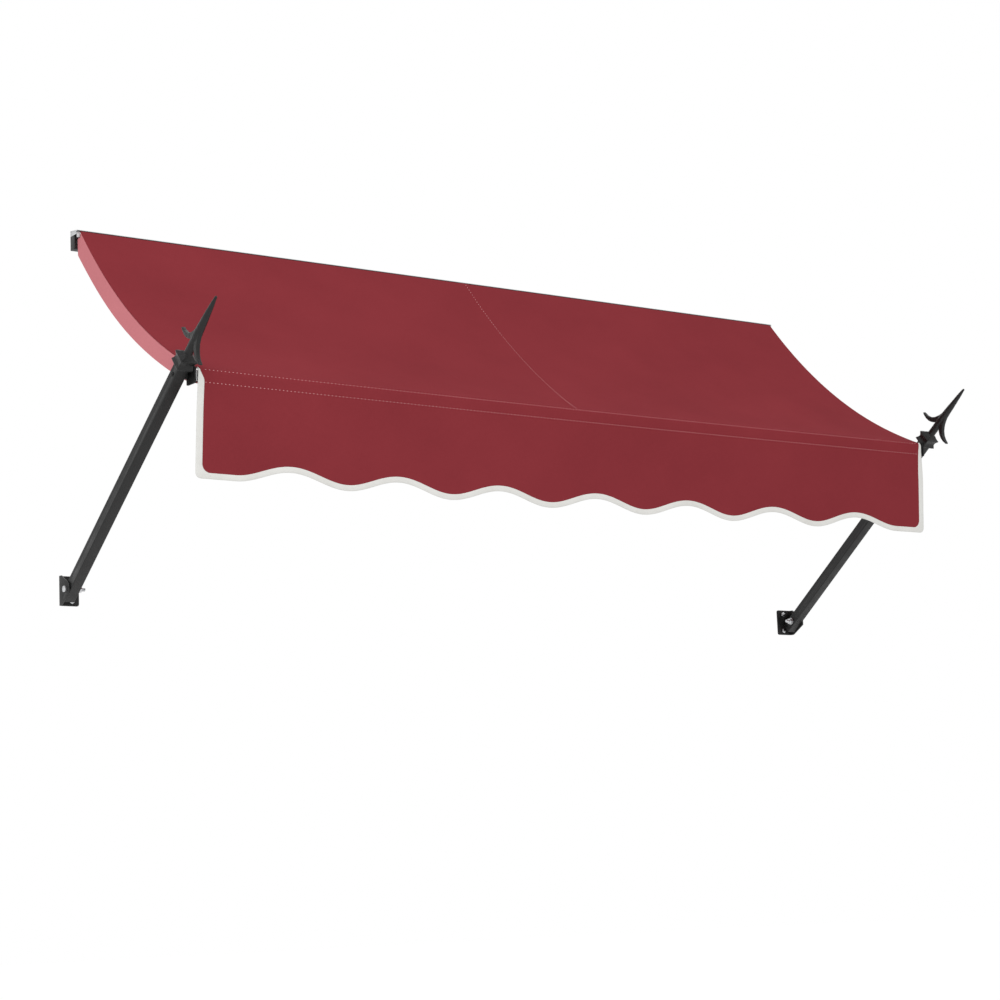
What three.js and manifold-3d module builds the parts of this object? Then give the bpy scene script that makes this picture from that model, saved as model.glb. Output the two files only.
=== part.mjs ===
// Spear window awning: a cloth canopy held between a wall rail and a front bar,
// with the bar carried on two hinged square arms that end in spear finials.
// Millimetres, +Z up. The wall is the plane Y = 0 and the awning stands out towards -Y.
// The origin is on the head rail's back face, at mid-length and level with its cloth slot.
import * as THREE from 'three';
import { mergeVertices } from 'three/addons/utils/BufferGeometryUtils.js';
import Module from 'manifold-3d';

const wasm = await Module();
wasm.setup();

// Fits between pieces
const SEAT_GAP = 0.3;
const BOLT_CLEARANCE = 0.4;

// Cloth
const FABRIC_WIDTH = 2438;
const CLOTH = 1.2;
const PROJECTION = 678;
const FRONT_DROP = 501;
const SAG_OUT = 322;
const SAG_DROP = 347;
const FLANGE_TOP_WIDTH = 50;
const FLANGE_FRONT_WIDTH = 38;
const VALANCE_DROP = 267;
const VALANCE_TILT = THREE.MathUtils.degToRad(4.5);
const SCALLOPS = 7;
const SCALLOP_RISE = 33;
const END_LOBE = 108;
const BINDING_WIDTH = 15;
const BINDING_THICKNESS = 3;
const BINDING_CORNER = 24;

// Head rail and its wall blocks
const RAIL_DEPTH = 44;
const RAIL_HEIGHT = 10;
const RAIL_RISE = 5;
const RAIL_BACK_RISE = 11;
const RAIL_WALL = 2.2;
const RAIL_OVERHANG = 7;
const RAIL_LIP = 10;
const GROOVE_RADIUS = 4;
const GROOVE_SLOT = 2.6;
const CORD_RADIUS = 3.4;
const BLOCK_LENGTH = 44;
const BLOCK_DEPTH = 25;
const BLOCK_HEIGHT = 38;
const BLOCK_ROUND = 7;
const BLOCK_SCREW_SPACING = 20;

// Front bar and its end fittings
const BAR = 25.4;
const BAR_WALL = 2;
const BAR_OVERHANG = 6;
const POCKET_SLACK = 0.4;
const FITTING_PLATE = 4.5;
const FITTING_MARGIN = 8;
const FITTING_BOSS_RADIUS = 10;
const FITTING_BOSS_BACK = 14;
const SPIGOT_LENGTH = 25;

// Arms
const ARM = 30;
const ARM_WALL = 2;
const ARM_ROUND = 2.5;
const ARM_FOOT = 33;
const ARM_ABOVE_BAR = 17;

// Spear finials
const COLLAR_RIM = 45;
const COLLAR_WAIST = 37;
const COLLAR_LENGTH = 29;
const COLLAR_RIM_THICKNESS = 3;
const COLLAR_CROWN = 9;
const COLLAR_AHEAD = 16;
const SOCKET_DEPTH = 24;
const STEM_RADIUS = 11;
const SPEAR_RADIUS = 12;
const SPEAR_TIP_RADIUS = 3.2;
const SPEAR_LENGTH = 122;
const STEM_LENGTH = 70;
const SPEAR_TAPER = 0.8;
const BARB_SPREAD = 69;
const BARB_SWEEP = 36;
const BARB_RUN = 66;
const BARB_THICKNESS = 11;
const BARB_ROOT = 5;
const BARB_BEVEL = 1.5;
const BARB_BELLY = 7;

// Wall brackets at the arms' feet
const PIVOT_DROP = 960;
const PIVOT_OUT = 41.5;
const BRACKET_SHEET = 3.5;
const BRACKET_WIDTH = 56;
const BRACKET_HEIGHT = 78;
const EAR_DEPTH = 61;
const EAR_NOSE = 24;
const EAR_SHOULDER = 15;
const BRACKET_SCREW_SPACING = 52;
const BRACKET_SCREW_EDGE = 21.5;

// Fasteners
const PIVOT_BOLT = { radius: 4.5, across: 16, head: 6 };
const PIVOT_NUT = { across: 16, height: 7.5 };
const PIVOT_WASHER = { radius: 10.5, height: 1.6 };
const PIVOT_THREAD_SPARE = 11;
const LAG_SCREW = { radius: 3.2, across: 13, head: 5 };
const CLAMP_SCREW = { radius: 2.5, across: 9, head: 3.2 };
const BAR_BOLT = { radius: 3, across: 11, head: 3.3 };
const FINIAL_SCREW = { radius: 2, across: 7.5, head: 2.6 };

// Smoothness
const PROFILE_STEPS = 18;
const SCALLOP_STEPS = 14;
const SCOOP_STEPS = 6;
const CROWN_STEPS = 4;
const SPEAR_STEPS = 6;
const BARB_STEPS = 9;
const ROUND_SIDES = 16;
const ARC_STEPS = 8;
const CORNER_STEPS = 3;

// How far a cutting shape runs past the faces it cuts
const OVERCUT = 1;

// Places that follow from the sizes above
const pocketSize = BAR + 2 * (POCKET_SLACK + CLOTH);
const railBottom = RAIL_RISE - RAIL_HEIGHT;
const lipBottom = railBottom - RAIL_LIP;
const groove = new THREE.Vector2(RAIL_DEPTH - 2 * GROOVE_RADIUS, 0);
const blockBottom = railBottom - SEAT_GAP - BLOCK_HEIGHT;
const armX = FABRIC_WIDTH / 2 + BAR_OVERHANG + FITTING_PLATE + 2 * SEAT_GAP + COLLAR_RIM / 2;
const fittingX = FABRIC_WIDTH / 2 + BAR_OVERHANG + SEAT_GAP;
const pivot = new THREE.Vector2(PIVOT_OUT, -PIVOT_DROP);
const valanceBack = PROJECTION - CLOTH / 2 - Math.max(CLOTH, BINDING_THICKNESS) / 2;
const pocketFront = valanceBack - SEAT_GAP - pocketSize * Math.tan(VALANCE_TILT);
const pocketTop = -FRONT_DROP - CLOTH - SEAT_GAP;
const barCentre = new THREE.Vector2(pocketFront - pocketSize / 2, pocketTop - pocketSize / 2);
const reach = barCentre.clone().sub(pivot);
const armAngle = reach.angle() + Math.asin(ARM_ABOVE_BAR / reach.length());
const barAlongArm = Math.sqrt(reach.lengthSq() - ARM_ABOVE_BAR ** 2);
const collarStart = barAlongArm + COLLAR_AHEAD;
const bossAlongArm = barAlongArm - FITTING_BOSS_BACK;

// Colours and finishes
const finish = (color, roughness, metalness) =>
  new THREE.MeshStandardMaterial({ color, roughness, metalness });
const cloth = () => finish(0x87353b, 0.9, 0);
const paleCloth = () => finish(0xcb7d86, 0.9, 0);
const braid = () => finish(0xe1e0d6, 0.85, 0);
const blackPaint = () => finish(0x2b2b2b, 0.6, 0.2);
const castBlack = () => finish(0x262626, 0.7, 0.3);
const aluminium = () => finish(0xc4c6c8, 0.4, 0.9);
const zinc = () => finish(0xb9bbbd, 0.35, 0.95);

// Booleans
function solid(geometry) {
  const bare = geometry.clone();
  bare.deleteAttribute('normal');
  bare.deleteAttribute('uv');
  const merged = mergeVertices(bare, 1e-4);
  return new wasm.Manifold(new wasm.Mesh({
    numProp: 3,
    vertProperties: new Float32Array(merged.attributes.position.array),
    triVerts: new Uint32Array(merged.index.array),
  }));
}

function surface(manifold) {
  const mesh = manifold.getMesh();
  const geometry = new THREE.BufferGeometry();
  geometry.setAttribute('position', new THREE.BufferAttribute(mesh.vertProperties, 3));
  geometry.setIndex(new THREE.BufferAttribute(mesh.triVerts, 1));
  return geometry;
}

const join = (...pieces) => surface(pieces.map(solid).reduce((all, piece) => all.add(piece)));
const cut = (piece, ...tools) =>
  surface(tools.map(solid).reduce((rest, tool) => rest.subtract(tool), solid(piece)));

// A section drawn as (out from the wall, up), drawn along X from one place to another.
function alongX(section, fromX, toX) {
  const geometry = new THREE.ExtrudeGeometry(section, {
    depth: toX - fromX, bevelEnabled: false, curveSegments: ARC_STEPS,
  });
  geometry.applyMatrix4(new THREE.Matrix4().makeBasis(
    new THREE.Vector3(0, -1, 0), new THREE.Vector3(0, 0, 1), new THREE.Vector3(-1, 0, 0),
  ));
  return geometry.translate(toX, 0, 0);
}

// An outline drawn as (across, up), given a thickness that grows towards the viewer at -Y.
function facing(outline, thickness) {
  const geometry = new THREE.ExtrudeGeometry(outline, { depth: thickness, bevelEnabled: false });
  return geometry.rotateX(Math.PI / 2);
}

function roundedSquare(size, round) {
  const half = size / 2;
  const inner = half - round;
  const shape = new THREE.Shape();
  shape.absarc(inner, inner, round, 0, Math.PI / 2);
  shape.absarc(-inner, inner, round, Math.PI / 2, Math.PI);
  shape.absarc(-inner, -inner, round, Math.PI, 1.5 * Math.PI);
  shape.absarc(inner, -inner, round, 1.5 * Math.PI, 2 * Math.PI);
  return shape;
}

function polygon(points) {
  return new THREE.Shape(points.map(([a, b]) => new THREE.Vector2(a, b)));
}

// A round rod along +Z between two heights.
function rod(radius, fromZ, toZ, sides = ROUND_SIDES) {
  const geometry = new THREE.CylinderGeometry(radius, radius, toZ - fromZ, sides);
  return geometry.rotateX(Math.PI / 2).translate(0, 0, (fromZ + toZ) / 2);
}

const rodX = (radius, fromX, toX) => rod(radius, fromX, toX).rotateY(Math.PI / 2);
const rodY = (radius, fromY, toY) => rod(radius, -toY, -fromY).rotateX(Math.PI / 2);

// A bolt along +Z whose head seats on Z = 0 from below; six sides make a hexagon head.
function bolt({ radius, across, head }, length, headSides = 6) {
  const headRadius = headSides === 6 ? across / Math.sqrt(3) : across / 2;
  return join(rod(headRadius, -head, 0, headSides), rod(radius, -head / 2, length));
}

function ring(outerRadius, innerRadius, height, sides = ROUND_SIDES) {
  return cut(rod(outerRadius, 0, height, sides), rod(innerRadius, -OVERCUT, height + OVERCUT));
}

const between = (a, b) => [Math.min(a, b), Math.max(a, b)];

function node(name, geometry, material) {
  const mesh = new THREE.Mesh(geometry, material);
  mesh.name = name;
  return mesh;
}

// The canopy's line from the rail slot to the front fold, as (out, up)
const sagCurve = new THREE.QuadraticBezierCurve(
  new THREE.Vector2(RAIL_DEPTH + CLOTH, 0),
  new THREE.Vector2(SAG_OUT, -SAG_DROP),
  new THREE.Vector2(PROJECTION, -FRONT_DROP),
);

// The sag line moved to its underside by a distance that may change along it.
function belowSag(distance) {
  return sagCurve.getPoints(PROFILE_STEPS).map((point, i) => {
    const t = i / PROFILE_STEPS;
    const along = sagCurve.getTangent(t);
    return new THREE.Vector2(along.y, -along.x).multiplyScalar(distance(t)).add(point);
  });
}

function canopyPanel(fromX, toX) {
  const slotEnd = groove.x + CORD_RADIUS + SEAT_GAP;
  const top = [new THREE.Vector2(slotEnd, CLOTH / 2), ...belowSag(() => -CLOTH / 2)];
  const under = [new THREE.Vector2(slotEnd, -CLOTH / 2), ...belowSag(() => CLOTH / 2)];
  return alongX(new THREE.Shape([...top, ...under.reverse()]), fromX, toX);
}

// The strip turned down at each side of the canopy, cut off clear of the rail, its block and the pocket.
function sideFlange(side) {
  const upper = CLOTH / 2 + SEAT_GAP;
  const width = (t) => THREE.MathUtils.lerp(FLANGE_TOP_WIDTH, FLANGE_FRONT_WIDTH, t);
  const strip = new THREE.Shape([
    ...belowSag(() => upper), ...belowSag((t) => upper + width(t)).reverse(),
  ]);
  const outer = side * FABRIC_WIDTH / 2;
  const sheet = alongX(strip, ...between(outer, outer - side * CLOTH));
  const railClear = RAIL_DEPTH + 2 * CLOTH;
  const blockClear = BLOCK_DEPTH + 2 * CLOTH;
  const pocketClear = barCentre.x - pocketSize / 2 - CLOTH;
  const window = polygon([
    [blockClear, -PIVOT_DROP], [pocketClear, -PIVOT_DROP], [pocketClear, PIVOT_DROP],
    [railClear, PIVOT_DROP], [railClear, lipBottom - CLOTH], [blockClear, lipBottom - CLOTH],
  ]);
  return surface(solid(sheet).intersect(solid(alongX(window, -FABRIC_WIDTH, FABRIC_WIDTH))));
}

// Head rail: a hollow extrusion with a round groove for the canopy's corded edge.
function railSection() {
  const slot = GROOVE_SLOT / 2;
  const mouth = Math.asin(slot / GROOVE_RADIUS);
  const lipOut = groove.x + GROOVE_RADIUS / 2;
  const section = new THREE.Shape();
  section.moveTo(0, railBottom);
  section.lineTo(lipOut, railBottom);
  section.lineTo(lipOut, lipBottom);
  section.lineTo(lipOut + RAIL_WALL, lipBottom);
  section.lineTo(lipOut + RAIL_WALL, railBottom);
  section.lineTo(RAIL_DEPTH, railBottom + RAIL_WALL);
  section.lineTo(RAIL_DEPTH, -slot);
  section.absarc(groove.x, groove.y, GROOVE_RADIUS, -mouth, mouth, true);
  section.lineTo(RAIL_DEPTH, slot);
  section.lineTo(RAIL_DEPTH, RAIL_RISE - RAIL_WALL);
  section.lineTo(RAIL_DEPTH - RAIL_WALL, RAIL_RISE);
  section.lineTo(0, RAIL_BACK_RISE);
  const chamberEnd = groove.x - GROOVE_RADIUS - RAIL_WALL;
  const floor = railBottom + RAIL_WALL;
  const roof = RAIL_RISE - RAIL_WALL;
  section.holes.push(new THREE.Path([
    new THREE.Vector2(RAIL_WALL, floor), new THREE.Vector2(RAIL_WALL, RAIL_BACK_RISE - RAIL_WALL),
    new THREE.Vector2(chamberEnd, roof), new THREE.Vector2(chamberEnd, floor),
  ]));
  return section;
}

const railEnd = FABRIC_WIDTH / 2 + RAIL_OVERHANG;
const blockPlaces = { left: -railEnd + BLOCK_LENGTH / 2, center: 0, right: railEnd - BLOCK_LENGTH / 2 };
const clampOut = (RAIL_WALL + groove.x - GROOVE_RADIUS - RAIL_WALL) / 2;
const towardsMiddle = (place) => (place === 'right' ? -BLOCK_SCREW_SPACING : BLOCK_SCREW_SPACING) / 2;
const clampX = (place) => blockPlaces[place] + towardsMiddle(place);
const wallScrewX = (place) => blockPlaces[place] - towardsMiddle(place);
const blockMiddle = blockBottom + BLOCK_HEIGHT / 2;
const CLAMP_SINK = CLAMP_SCREW.head + SEAT_GAP;
const LAG_SINK = LAG_SCREW.head + SEAT_GAP;

function headRail() {
  const holes = Object.keys(blockPlaces).map((place) =>
    rod(CLAMP_SCREW.radius + BOLT_CLEARANCE, railBottom - OVERCUT, railBottom + RAIL_WALL + OVERCUT)
      .translate(clampX(place), -clampOut, 0));
  return cut(alongX(railSection(), -railEnd, railEnd), ...holes);
}

// Wall block under the rail, with a screw into the wall and one up into the rail.
function railBlock(place) {
  const corners = roundedSquare(2 * BLOCK_ROUND, BLOCK_ROUND).getPoints(ARC_STEPS);
  const section = new THREE.Shape(corners.map((p) => new THREE.Vector2(
    p.x + (p.x > 0 ? BLOCK_DEPTH - BLOCK_ROUND : BLOCK_ROUND),
    p.y + (p.y > 0 ? blockBottom + BLOCK_HEIGHT - BLOCK_ROUND : blockBottom + BLOCK_ROUND),
  )));
  const flatBack = polygon([
    [0, blockBottom], [BLOCK_ROUND, blockBottom],
    [BLOCK_ROUND, blockBottom + BLOCK_HEIGHT], [0, blockBottom + BLOCK_HEIGHT],
  ]);
  const from = blockPlaces[place] - BLOCK_LENGTH / 2;
  const to = blockPlaces[place] + BLOCK_LENGTH / 2;
  const front = -BLOCK_DEPTH - OVERCUT;
  const sunkHead = LAG_SCREW.across / Math.sqrt(3) + 2 * BOLT_CLEARANCE;
  const wallHole = [
    rodY(LAG_SCREW.radius + BOLT_CLEARANCE, front, OVERCUT),
    rodY(sunkHead, front, -BLOCK_DEPTH + LAG_SINK),
  ].map((tool) => tool.translate(wallScrewX(place), 0, blockMiddle));
  const clampHole = [
    rod(CLAMP_SCREW.radius + BOLT_CLEARANCE, blockBottom - OVERCUT, railBottom + OVERCUT),
    rod(CLAMP_SCREW.across / 2 + BOLT_CLEARANCE, blockBottom - OVERCUT, blockBottom + CLAMP_SINK),
  ].map((tool) => tool.translate(clampX(place), -clampOut, 0));
  const body = join(alongX(section, from, to), alongX(flatBack, from, to));
  return cut(body, ...wallHole, ...clampHole);
}

// Valance and binding, drawn as (across, down from the fold)
function valanceEdge(inset) {
  const edge = FABRIC_WIDTH / 2 - inset;
  const low = -VALANCE_DROP + inset;
  const round = Math.max(BINDING_CORNER - inset, 1);
  const wavy = FABRIC_WIDTH / 2 - END_LOBE;
  const pitch = 2 * wavy / SCALLOPS;
  const path = new THREE.Path();
  path.moveTo(-edge, 0);
  path.lineTo(-edge, low + round);
  path.absarc(-edge + round, low + round, round, Math.PI, 1.5 * Math.PI);
  const steps = SCALLOPS * SCALLOP_STEPS;
  for (let i = 0; i <= steps; i += 1) {
    const x = -wavy + 2 * wavy * i / steps;
    path.lineTo(x, low + SCALLOP_RISE * (1 + Math.cos(2 * Math.PI * x / pitch)) / 2);
  }
  path.absarc(edge - round, low + round, round, 1.5 * Math.PI, 2 * Math.PI);
  path.lineTo(edge, 0);
  return path.getPoints(CORNER_STEPS);
}

const valanceSheet = () => facing(new THREE.Shape(valanceEdge(BINDING_WIDTH + SEAT_GAP)), CLOTH);
const valanceBraid = () => facing(
  new THREE.Shape([...valanceEdge(0), ...valanceEdge(BINDING_WIDTH).reverse()]), BINDING_THICKNESS,
);

// Square tube along +Z
function squareTube(size, wall, round, length) {
  const section = roundedSquare(size, round);
  const bore = roundedSquare(size - 2 * wall, Math.max(round - wall, wall / 4));
  section.holes.push(new THREE.Path(bore.getPoints(CORNER_STEPS)));
  return new THREE.ExtrudeGeometry(section, {
    depth: length, bevelEnabled: false, curveSegments: CORNER_STEPS,
  });
}

const frontBar = () => {
  const half = FABRIC_WIDTH / 2 + BAR_OVERHANG;
  return squareTube(BAR, BAR_WALL, ARM_ROUND, 2 * half).translate(0, 0, -half).rotateY(Math.PI / 2);
};

const frontPocket = () => squareTube(pocketSize, CLOTH, ARM_ROUND + CLOTH, FABRIC_WIDTH)
  .translate(0, 0, -FABRIC_WIDTH / 2).rotateY(Math.PI / 2);

// End fitting: a plate over the bar's end, a spigot inside the bar and a boss against the arm.
function endFitting(side) {
  const inner = side * fittingX;
  const outer = side * (fittingX + FITTING_PLATE);
  const armFace = side * (armX - ARM / 2 - SEAT_GAP);
  const alongArm = new THREE.Vector2(Math.cos(armAngle), Math.sin(armAngle));
  const boss = pivot.clone().addScaledVector(alongArm, bossAlongArm);
  const towards = boss.clone().sub(barCentre);
  const plateSize = BAR + 2 * FITTING_MARGIN;
  const plate = new THREE.Shape(roundedSquare(plateSize, ARM_ROUND).getPoints(CORNER_STEPS)
    .map((p) => p.add(barCentre)));
  const tab = polygon([
    [0, -FITTING_BOSS_RADIUS], [towards.length(), -FITTING_BOSS_RADIUS],
    [towards.length(), FITTING_BOSS_RADIUS], [0, FITTING_BOSS_RADIUS],
  ]);
  const turnedTab = new THREE.Shape(tab.getPoints().map((p) =>
    p.rotateAround(new THREE.Vector2(), towards.angle()).add(barCentre)));
  const spigotSize = BAR - 2 * BAR_WALL - 2 * SEAT_GAP;
  const spigot = new THREE.Shape(roundedSquare(spigotSize, ARM_ROUND / 2).getPoints(CORNER_STEPS)
    .map((p) => p.add(barCentre)));
  const body = join(
    alongX(plate, ...between(inner, outer)),
    alongX(turnedTab, ...between(inner, outer)),
    alongX(spigot, ...between(inner - side * SPIGOT_LENGTH, outer)),
    rodX(FITTING_BOSS_RADIUS, ...between(inner, armFace)).translate(0, -boss.x, boss.y),
  );
  const drilled = rodX(BAR_BOLT.radius + BOLT_CLEARANCE, ...between(inner - side, armFace + side));
  return cut(body, drilled.translate(0, -boss.x, boss.y));
}

// Arm: a square tube along +Z from its foot, with the pivot and bar bolt holes across it.
const armEnd = collarStart + SOCKET_DEPTH - SEAT_GAP;

function armTube() {
  const tube = squareTube(ARM, ARM_WALL, ARM_ROUND, ARM_FOOT + armEnd).translate(0, 0, -ARM_FOOT);
  return cut(
    tube,
    rodX(PIVOT_BOLT.radius + BOLT_CLEARANCE, -ARM, ARM),
    rodX(BAR_BOLT.radius + BOLT_CLEARANCE, -ARM, ARM).translate(0, 0, bossAlongArm),
  );
}

// Finial: one casting of a waisted square collar, a round stem, a spear point and two barbs.
// It is drawn along +Z from the collar's lower rim, with the barbs to each side in Y.
function squareTurned(profile) {
  const points = profile.map(([half, z]) => new THREE.Vector2(half * Math.SQRT2, z));
  return new THREE.LatheGeometry(points, 4, Math.PI / 4).rotateX(Math.PI / 2);
}

function collar() {
  const rim = COLLAR_RIM / 2;
  const waist = COLLAR_WAIST / 2;
  const hollow = COLLAR_LENGTH - 2 * COLLAR_RIM_THICKNESS;
  const profile = [[0, 0], [rim, 0]];
  for (let i = 0; i <= SCOOP_STEPS; i += 1) {
    const t = i / SCOOP_STEPS;
    const half = rim - (rim - waist) * Math.sin(Math.PI * t);
    profile.push([half, COLLAR_RIM_THICKNESS + hollow * t]);
  }
  for (let i = 0; i <= CROWN_STEPS; i += 1) {
    const t = i / CROWN_STEPS;
    profile.push([THREE.MathUtils.lerp(rim, STEM_RADIUS, t), COLLAR_LENGTH + COLLAR_CROWN * t * t]);
  }
  profile.push([0, COLLAR_LENGTH + COLLAR_CROWN]);
  return squareTurned(profile);
}

const spearBase = COLLAR_LENGTH + STEM_LENGTH;
const spearTip = spearBase + SPEAR_LENGTH;

function spearShaft() {
  const foot = COLLAR_LENGTH - COLLAR_RIM_THICKNESS;
  const profile = [[0, foot], [STEM_RADIUS, foot], [STEM_RADIUS, spearBase - SPEAR_RADIUS]];
  for (let i = 0; i <= SPEAR_STEPS; i += 1) {
    const back = 1 - i / SPEAR_STEPS;
    const radius = THREE.MathUtils.lerp(SPEAR_TIP_RADIUS, SPEAR_RADIUS, back ** SPEAR_TAPER);
    profile.push([radius, spearTip - SPEAR_TIP_RADIUS - (SPEAR_LENGTH - SPEAR_TIP_RADIUS) * back]);
  }
  profile.push([0, spearTip]);
  const points = profile.map(([r, z]) => new THREE.Vector2(r, z));
  return new THREE.LatheGeometry(points, ROUND_SIDES).rotateX(Math.PI / 2);
}

// Both barbs as one flat shape: they run on from the spear's edges and sweep back and outwards.
function barbs() {
  const reachOut = BARB_SPREAD - BARB_BEVEL;
  const tipZ = spearBase - BARB_SWEEP;
  const outer = new THREE.CubicBezierCurve(
    new THREE.Vector2(BARB_BEVEL, spearBase + BARB_RUN),
    new THREE.Vector2(BARB_ROOT, spearBase + BARB_ROOT),
    new THREE.Vector2(4 * BARB_ROOT, tipZ + BARB_BEVEL),
    new THREE.Vector2(reachOut, tipZ),
  ).getPoints(BARB_STEPS);
  const inner = new THREE.CubicBezierCurve(
    new THREE.Vector2(reachOut, tipZ - BARB_BEVEL / 2),
    new THREE.Vector2(reachOut * 2 / 3, tipZ - BARB_BELLY),
    new THREE.Vector2(4 * BARB_ROOT, tipZ - BARB_BELLY / 3),
    new THREE.Vector2(BARB_ROOT, spearBase - BARB_SWEEP / 3),
  ).getPoints(BARB_STEPS);
  const right = [...outer, ...inner];
  const left = right.map((p) => new THREE.Vector2(-p.x, p.y)).reverse();
  const depth = BARB_THICKNESS - 2 * BARB_BEVEL;
  const plate = new THREE.ExtrudeGeometry(new THREE.Shape([...right, ...left]), {
    depth, bevelEnabled: true, bevelThickness: BARB_BEVEL, bevelSize: BARB_BEVEL, bevelSegments: 2,
  });
  plate.translate(0, 0, -depth / 2);
  return plate.applyMatrix4(new THREE.Matrix4().makeBasis(
    new THREE.Vector3(0, 1, 0), new THREE.Vector3(0, 0, 1), new THREE.Vector3(1, 0, 0),
  ));
}

const finialScrewZ = COLLAR_LENGTH / 2;

function finial() {
  const socketSize = ARM + 2 * SEAT_GAP;
  const socket = new THREE.BoxGeometry(socketSize, socketSize, 2 * SOCKET_DEPTH);
  const screwHole = rodY(FINIAL_SCREW.radius + BOLT_CLEARANCE, 0, COLLAR_RIM).translate(0, 0, finialScrewZ);
  const spotFace = rodY(FINIAL_SCREW.across / 2 + BOLT_CLEARANCE, COLLAR_WAIST / 2, COLLAR_RIM)
    .translate(0, 0, finialScrewZ);
  return cut(join(collar(), spearShaft(), barbs()), socket, screwHole, spotFace);
}

// Wall bracket: an angle with its base on the wall and its ear outside the arm.
// It is drawn about the pivot, with the arm's middle plane at X = 0.
const earInner = ARM / 2 + SEAT_GAP;
const earOuter = earInner + BRACKET_SHEET;
const lagX = earOuter - BRACKET_WIDTH + BRACKET_SCREW_EDGE;

function wallBracket(side) {
  const half = BRACKET_HEIGHT / 2;
  const nose = EAR_NOSE / 2;
  const ear = polygon([
    [0, -half], [EAR_SHOULDER, -half], [EAR_DEPTH, -nose],
    [EAR_DEPTH, nose], [EAR_SHOULDER, half], [0, half],
  ]);
  const base = polygon([[0, -half], [BRACKET_SHEET, -half], [BRACKET_SHEET, half], [0, half]]);
  const body = join(
    alongX(ear, ...between(side * earInner, side * earOuter)),
    alongX(base, ...between(side * (earOuter - BRACKET_WIDTH), side * earOuter)),
  ).translate(0, PIVOT_OUT, 0);
  const screwHoles = [-1, 1].map((end) =>
    rodY(LAG_SCREW.radius + BOLT_CLEARANCE, 0, PIVOT_OUT + OVERCUT)
      .translate(side * lagX, 0, end * BRACKET_SCREW_SPACING / 2));
  const pivotHole = rodX(PIVOT_BOLT.radius + BOLT_CLEARANCE, ...between(0, side * BRACKET_WIDTH));
  return cut(body, pivotHole, ...screwHoles);
}

// Turns a fastener drawn along +Z so that it points along the given axis.
function pointing(mesh, x, y, z) {
  mesh.quaternion.setFromUnitVectors(new THREE.Vector3(0, 0, 1), new THREE.Vector3(x, y, z));
  return mesh;
}

const awning = new THREE.Group();

// Rail, its blocks and their screws
const wallMount = new THREE.Group();
awning.add(wallMount);
wallMount.add(node('head_rail', headRail(), aluminium()));
const cord = node('welt_cord', rodX(CORD_RADIUS, -FABRIC_WIDTH / 2, FABRIC_WIDTH / 2), braid());
cord.position.set(0, -groove.x, groove.y);
wallMount.add(cord);
for (const place of Object.keys(blockPlaces)) {
  wallMount.add(node(`rail_block_${place}`, railBlock(place), blackPaint()));
  const seat = BLOCK_DEPTH - LAG_SINK;
  const wallScrew = node(`rail_wall_screw_${place}`, bolt(LAG_SCREW, seat - 2 * SEAT_GAP), zinc());
  pointing(wallScrew, 0, 1, 0).position.set(wallScrewX(place), -seat - SEAT_GAP, blockMiddle);
  const clampLength = RAIL_WALL + BLOCK_HEIGHT - CLAMP_SINK + RAIL_WALL;
  const clamp = node(`rail_clamp_screw_${place}`, bolt(CLAMP_SCREW, clampLength, ROUND_SIDES), zinc());
  clamp.position.set(clampX(place), -clampOut, blockBottom + CLAMP_SINK - SEAT_GAP);
  wallMount.add(wallScrew, clamp);
}

// Canopy panels meet at the middle seam; each side has its turned-down strip.
wallMount.add(node('canopy_panel_left', canopyPanel(-FABRIC_WIDTH / 2, -SEAT_GAP / 2), cloth()));
wallMount.add(node('canopy_panel_right', canopyPanel(SEAT_GAP / 2, FABRIC_WIDTH / 2), cloth()));
wallMount.add(node('side_flange_left', sideFlange(-1), paleCloth()));
wallMount.add(node('side_flange_right', sideFlange(1), paleCloth()));

// Front bar in its pocket, with the valance sewn to the fold
const armFrame = new THREE.Group();
awning.add(armFrame);
const barLine = new THREE.Group();
barLine.position.set(0, -barCentre.x, barCentre.y);
barLine.add(node('front_bar', frontBar(), aluminium()), node('front_pocket', frontPocket(), cloth()));
armFrame.add(barLine);
const fold = new THREE.Group();
fold.position.set(0, -PROJECTION + CLOTH / 2, -FRONT_DROP - CLOTH / 2 - SEAT_GAP);
fold.rotation.x = VALANCE_TILT;
const valance = node('valance', valanceSheet(), cloth());
valance.position.y = CLOTH / 2;
const binding = node('valance_binding', valanceBraid(), braid());
binding.position.y = BINDING_THICKNESS / 2;
fold.add(valance, binding);
armFrame.add(fold);

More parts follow.
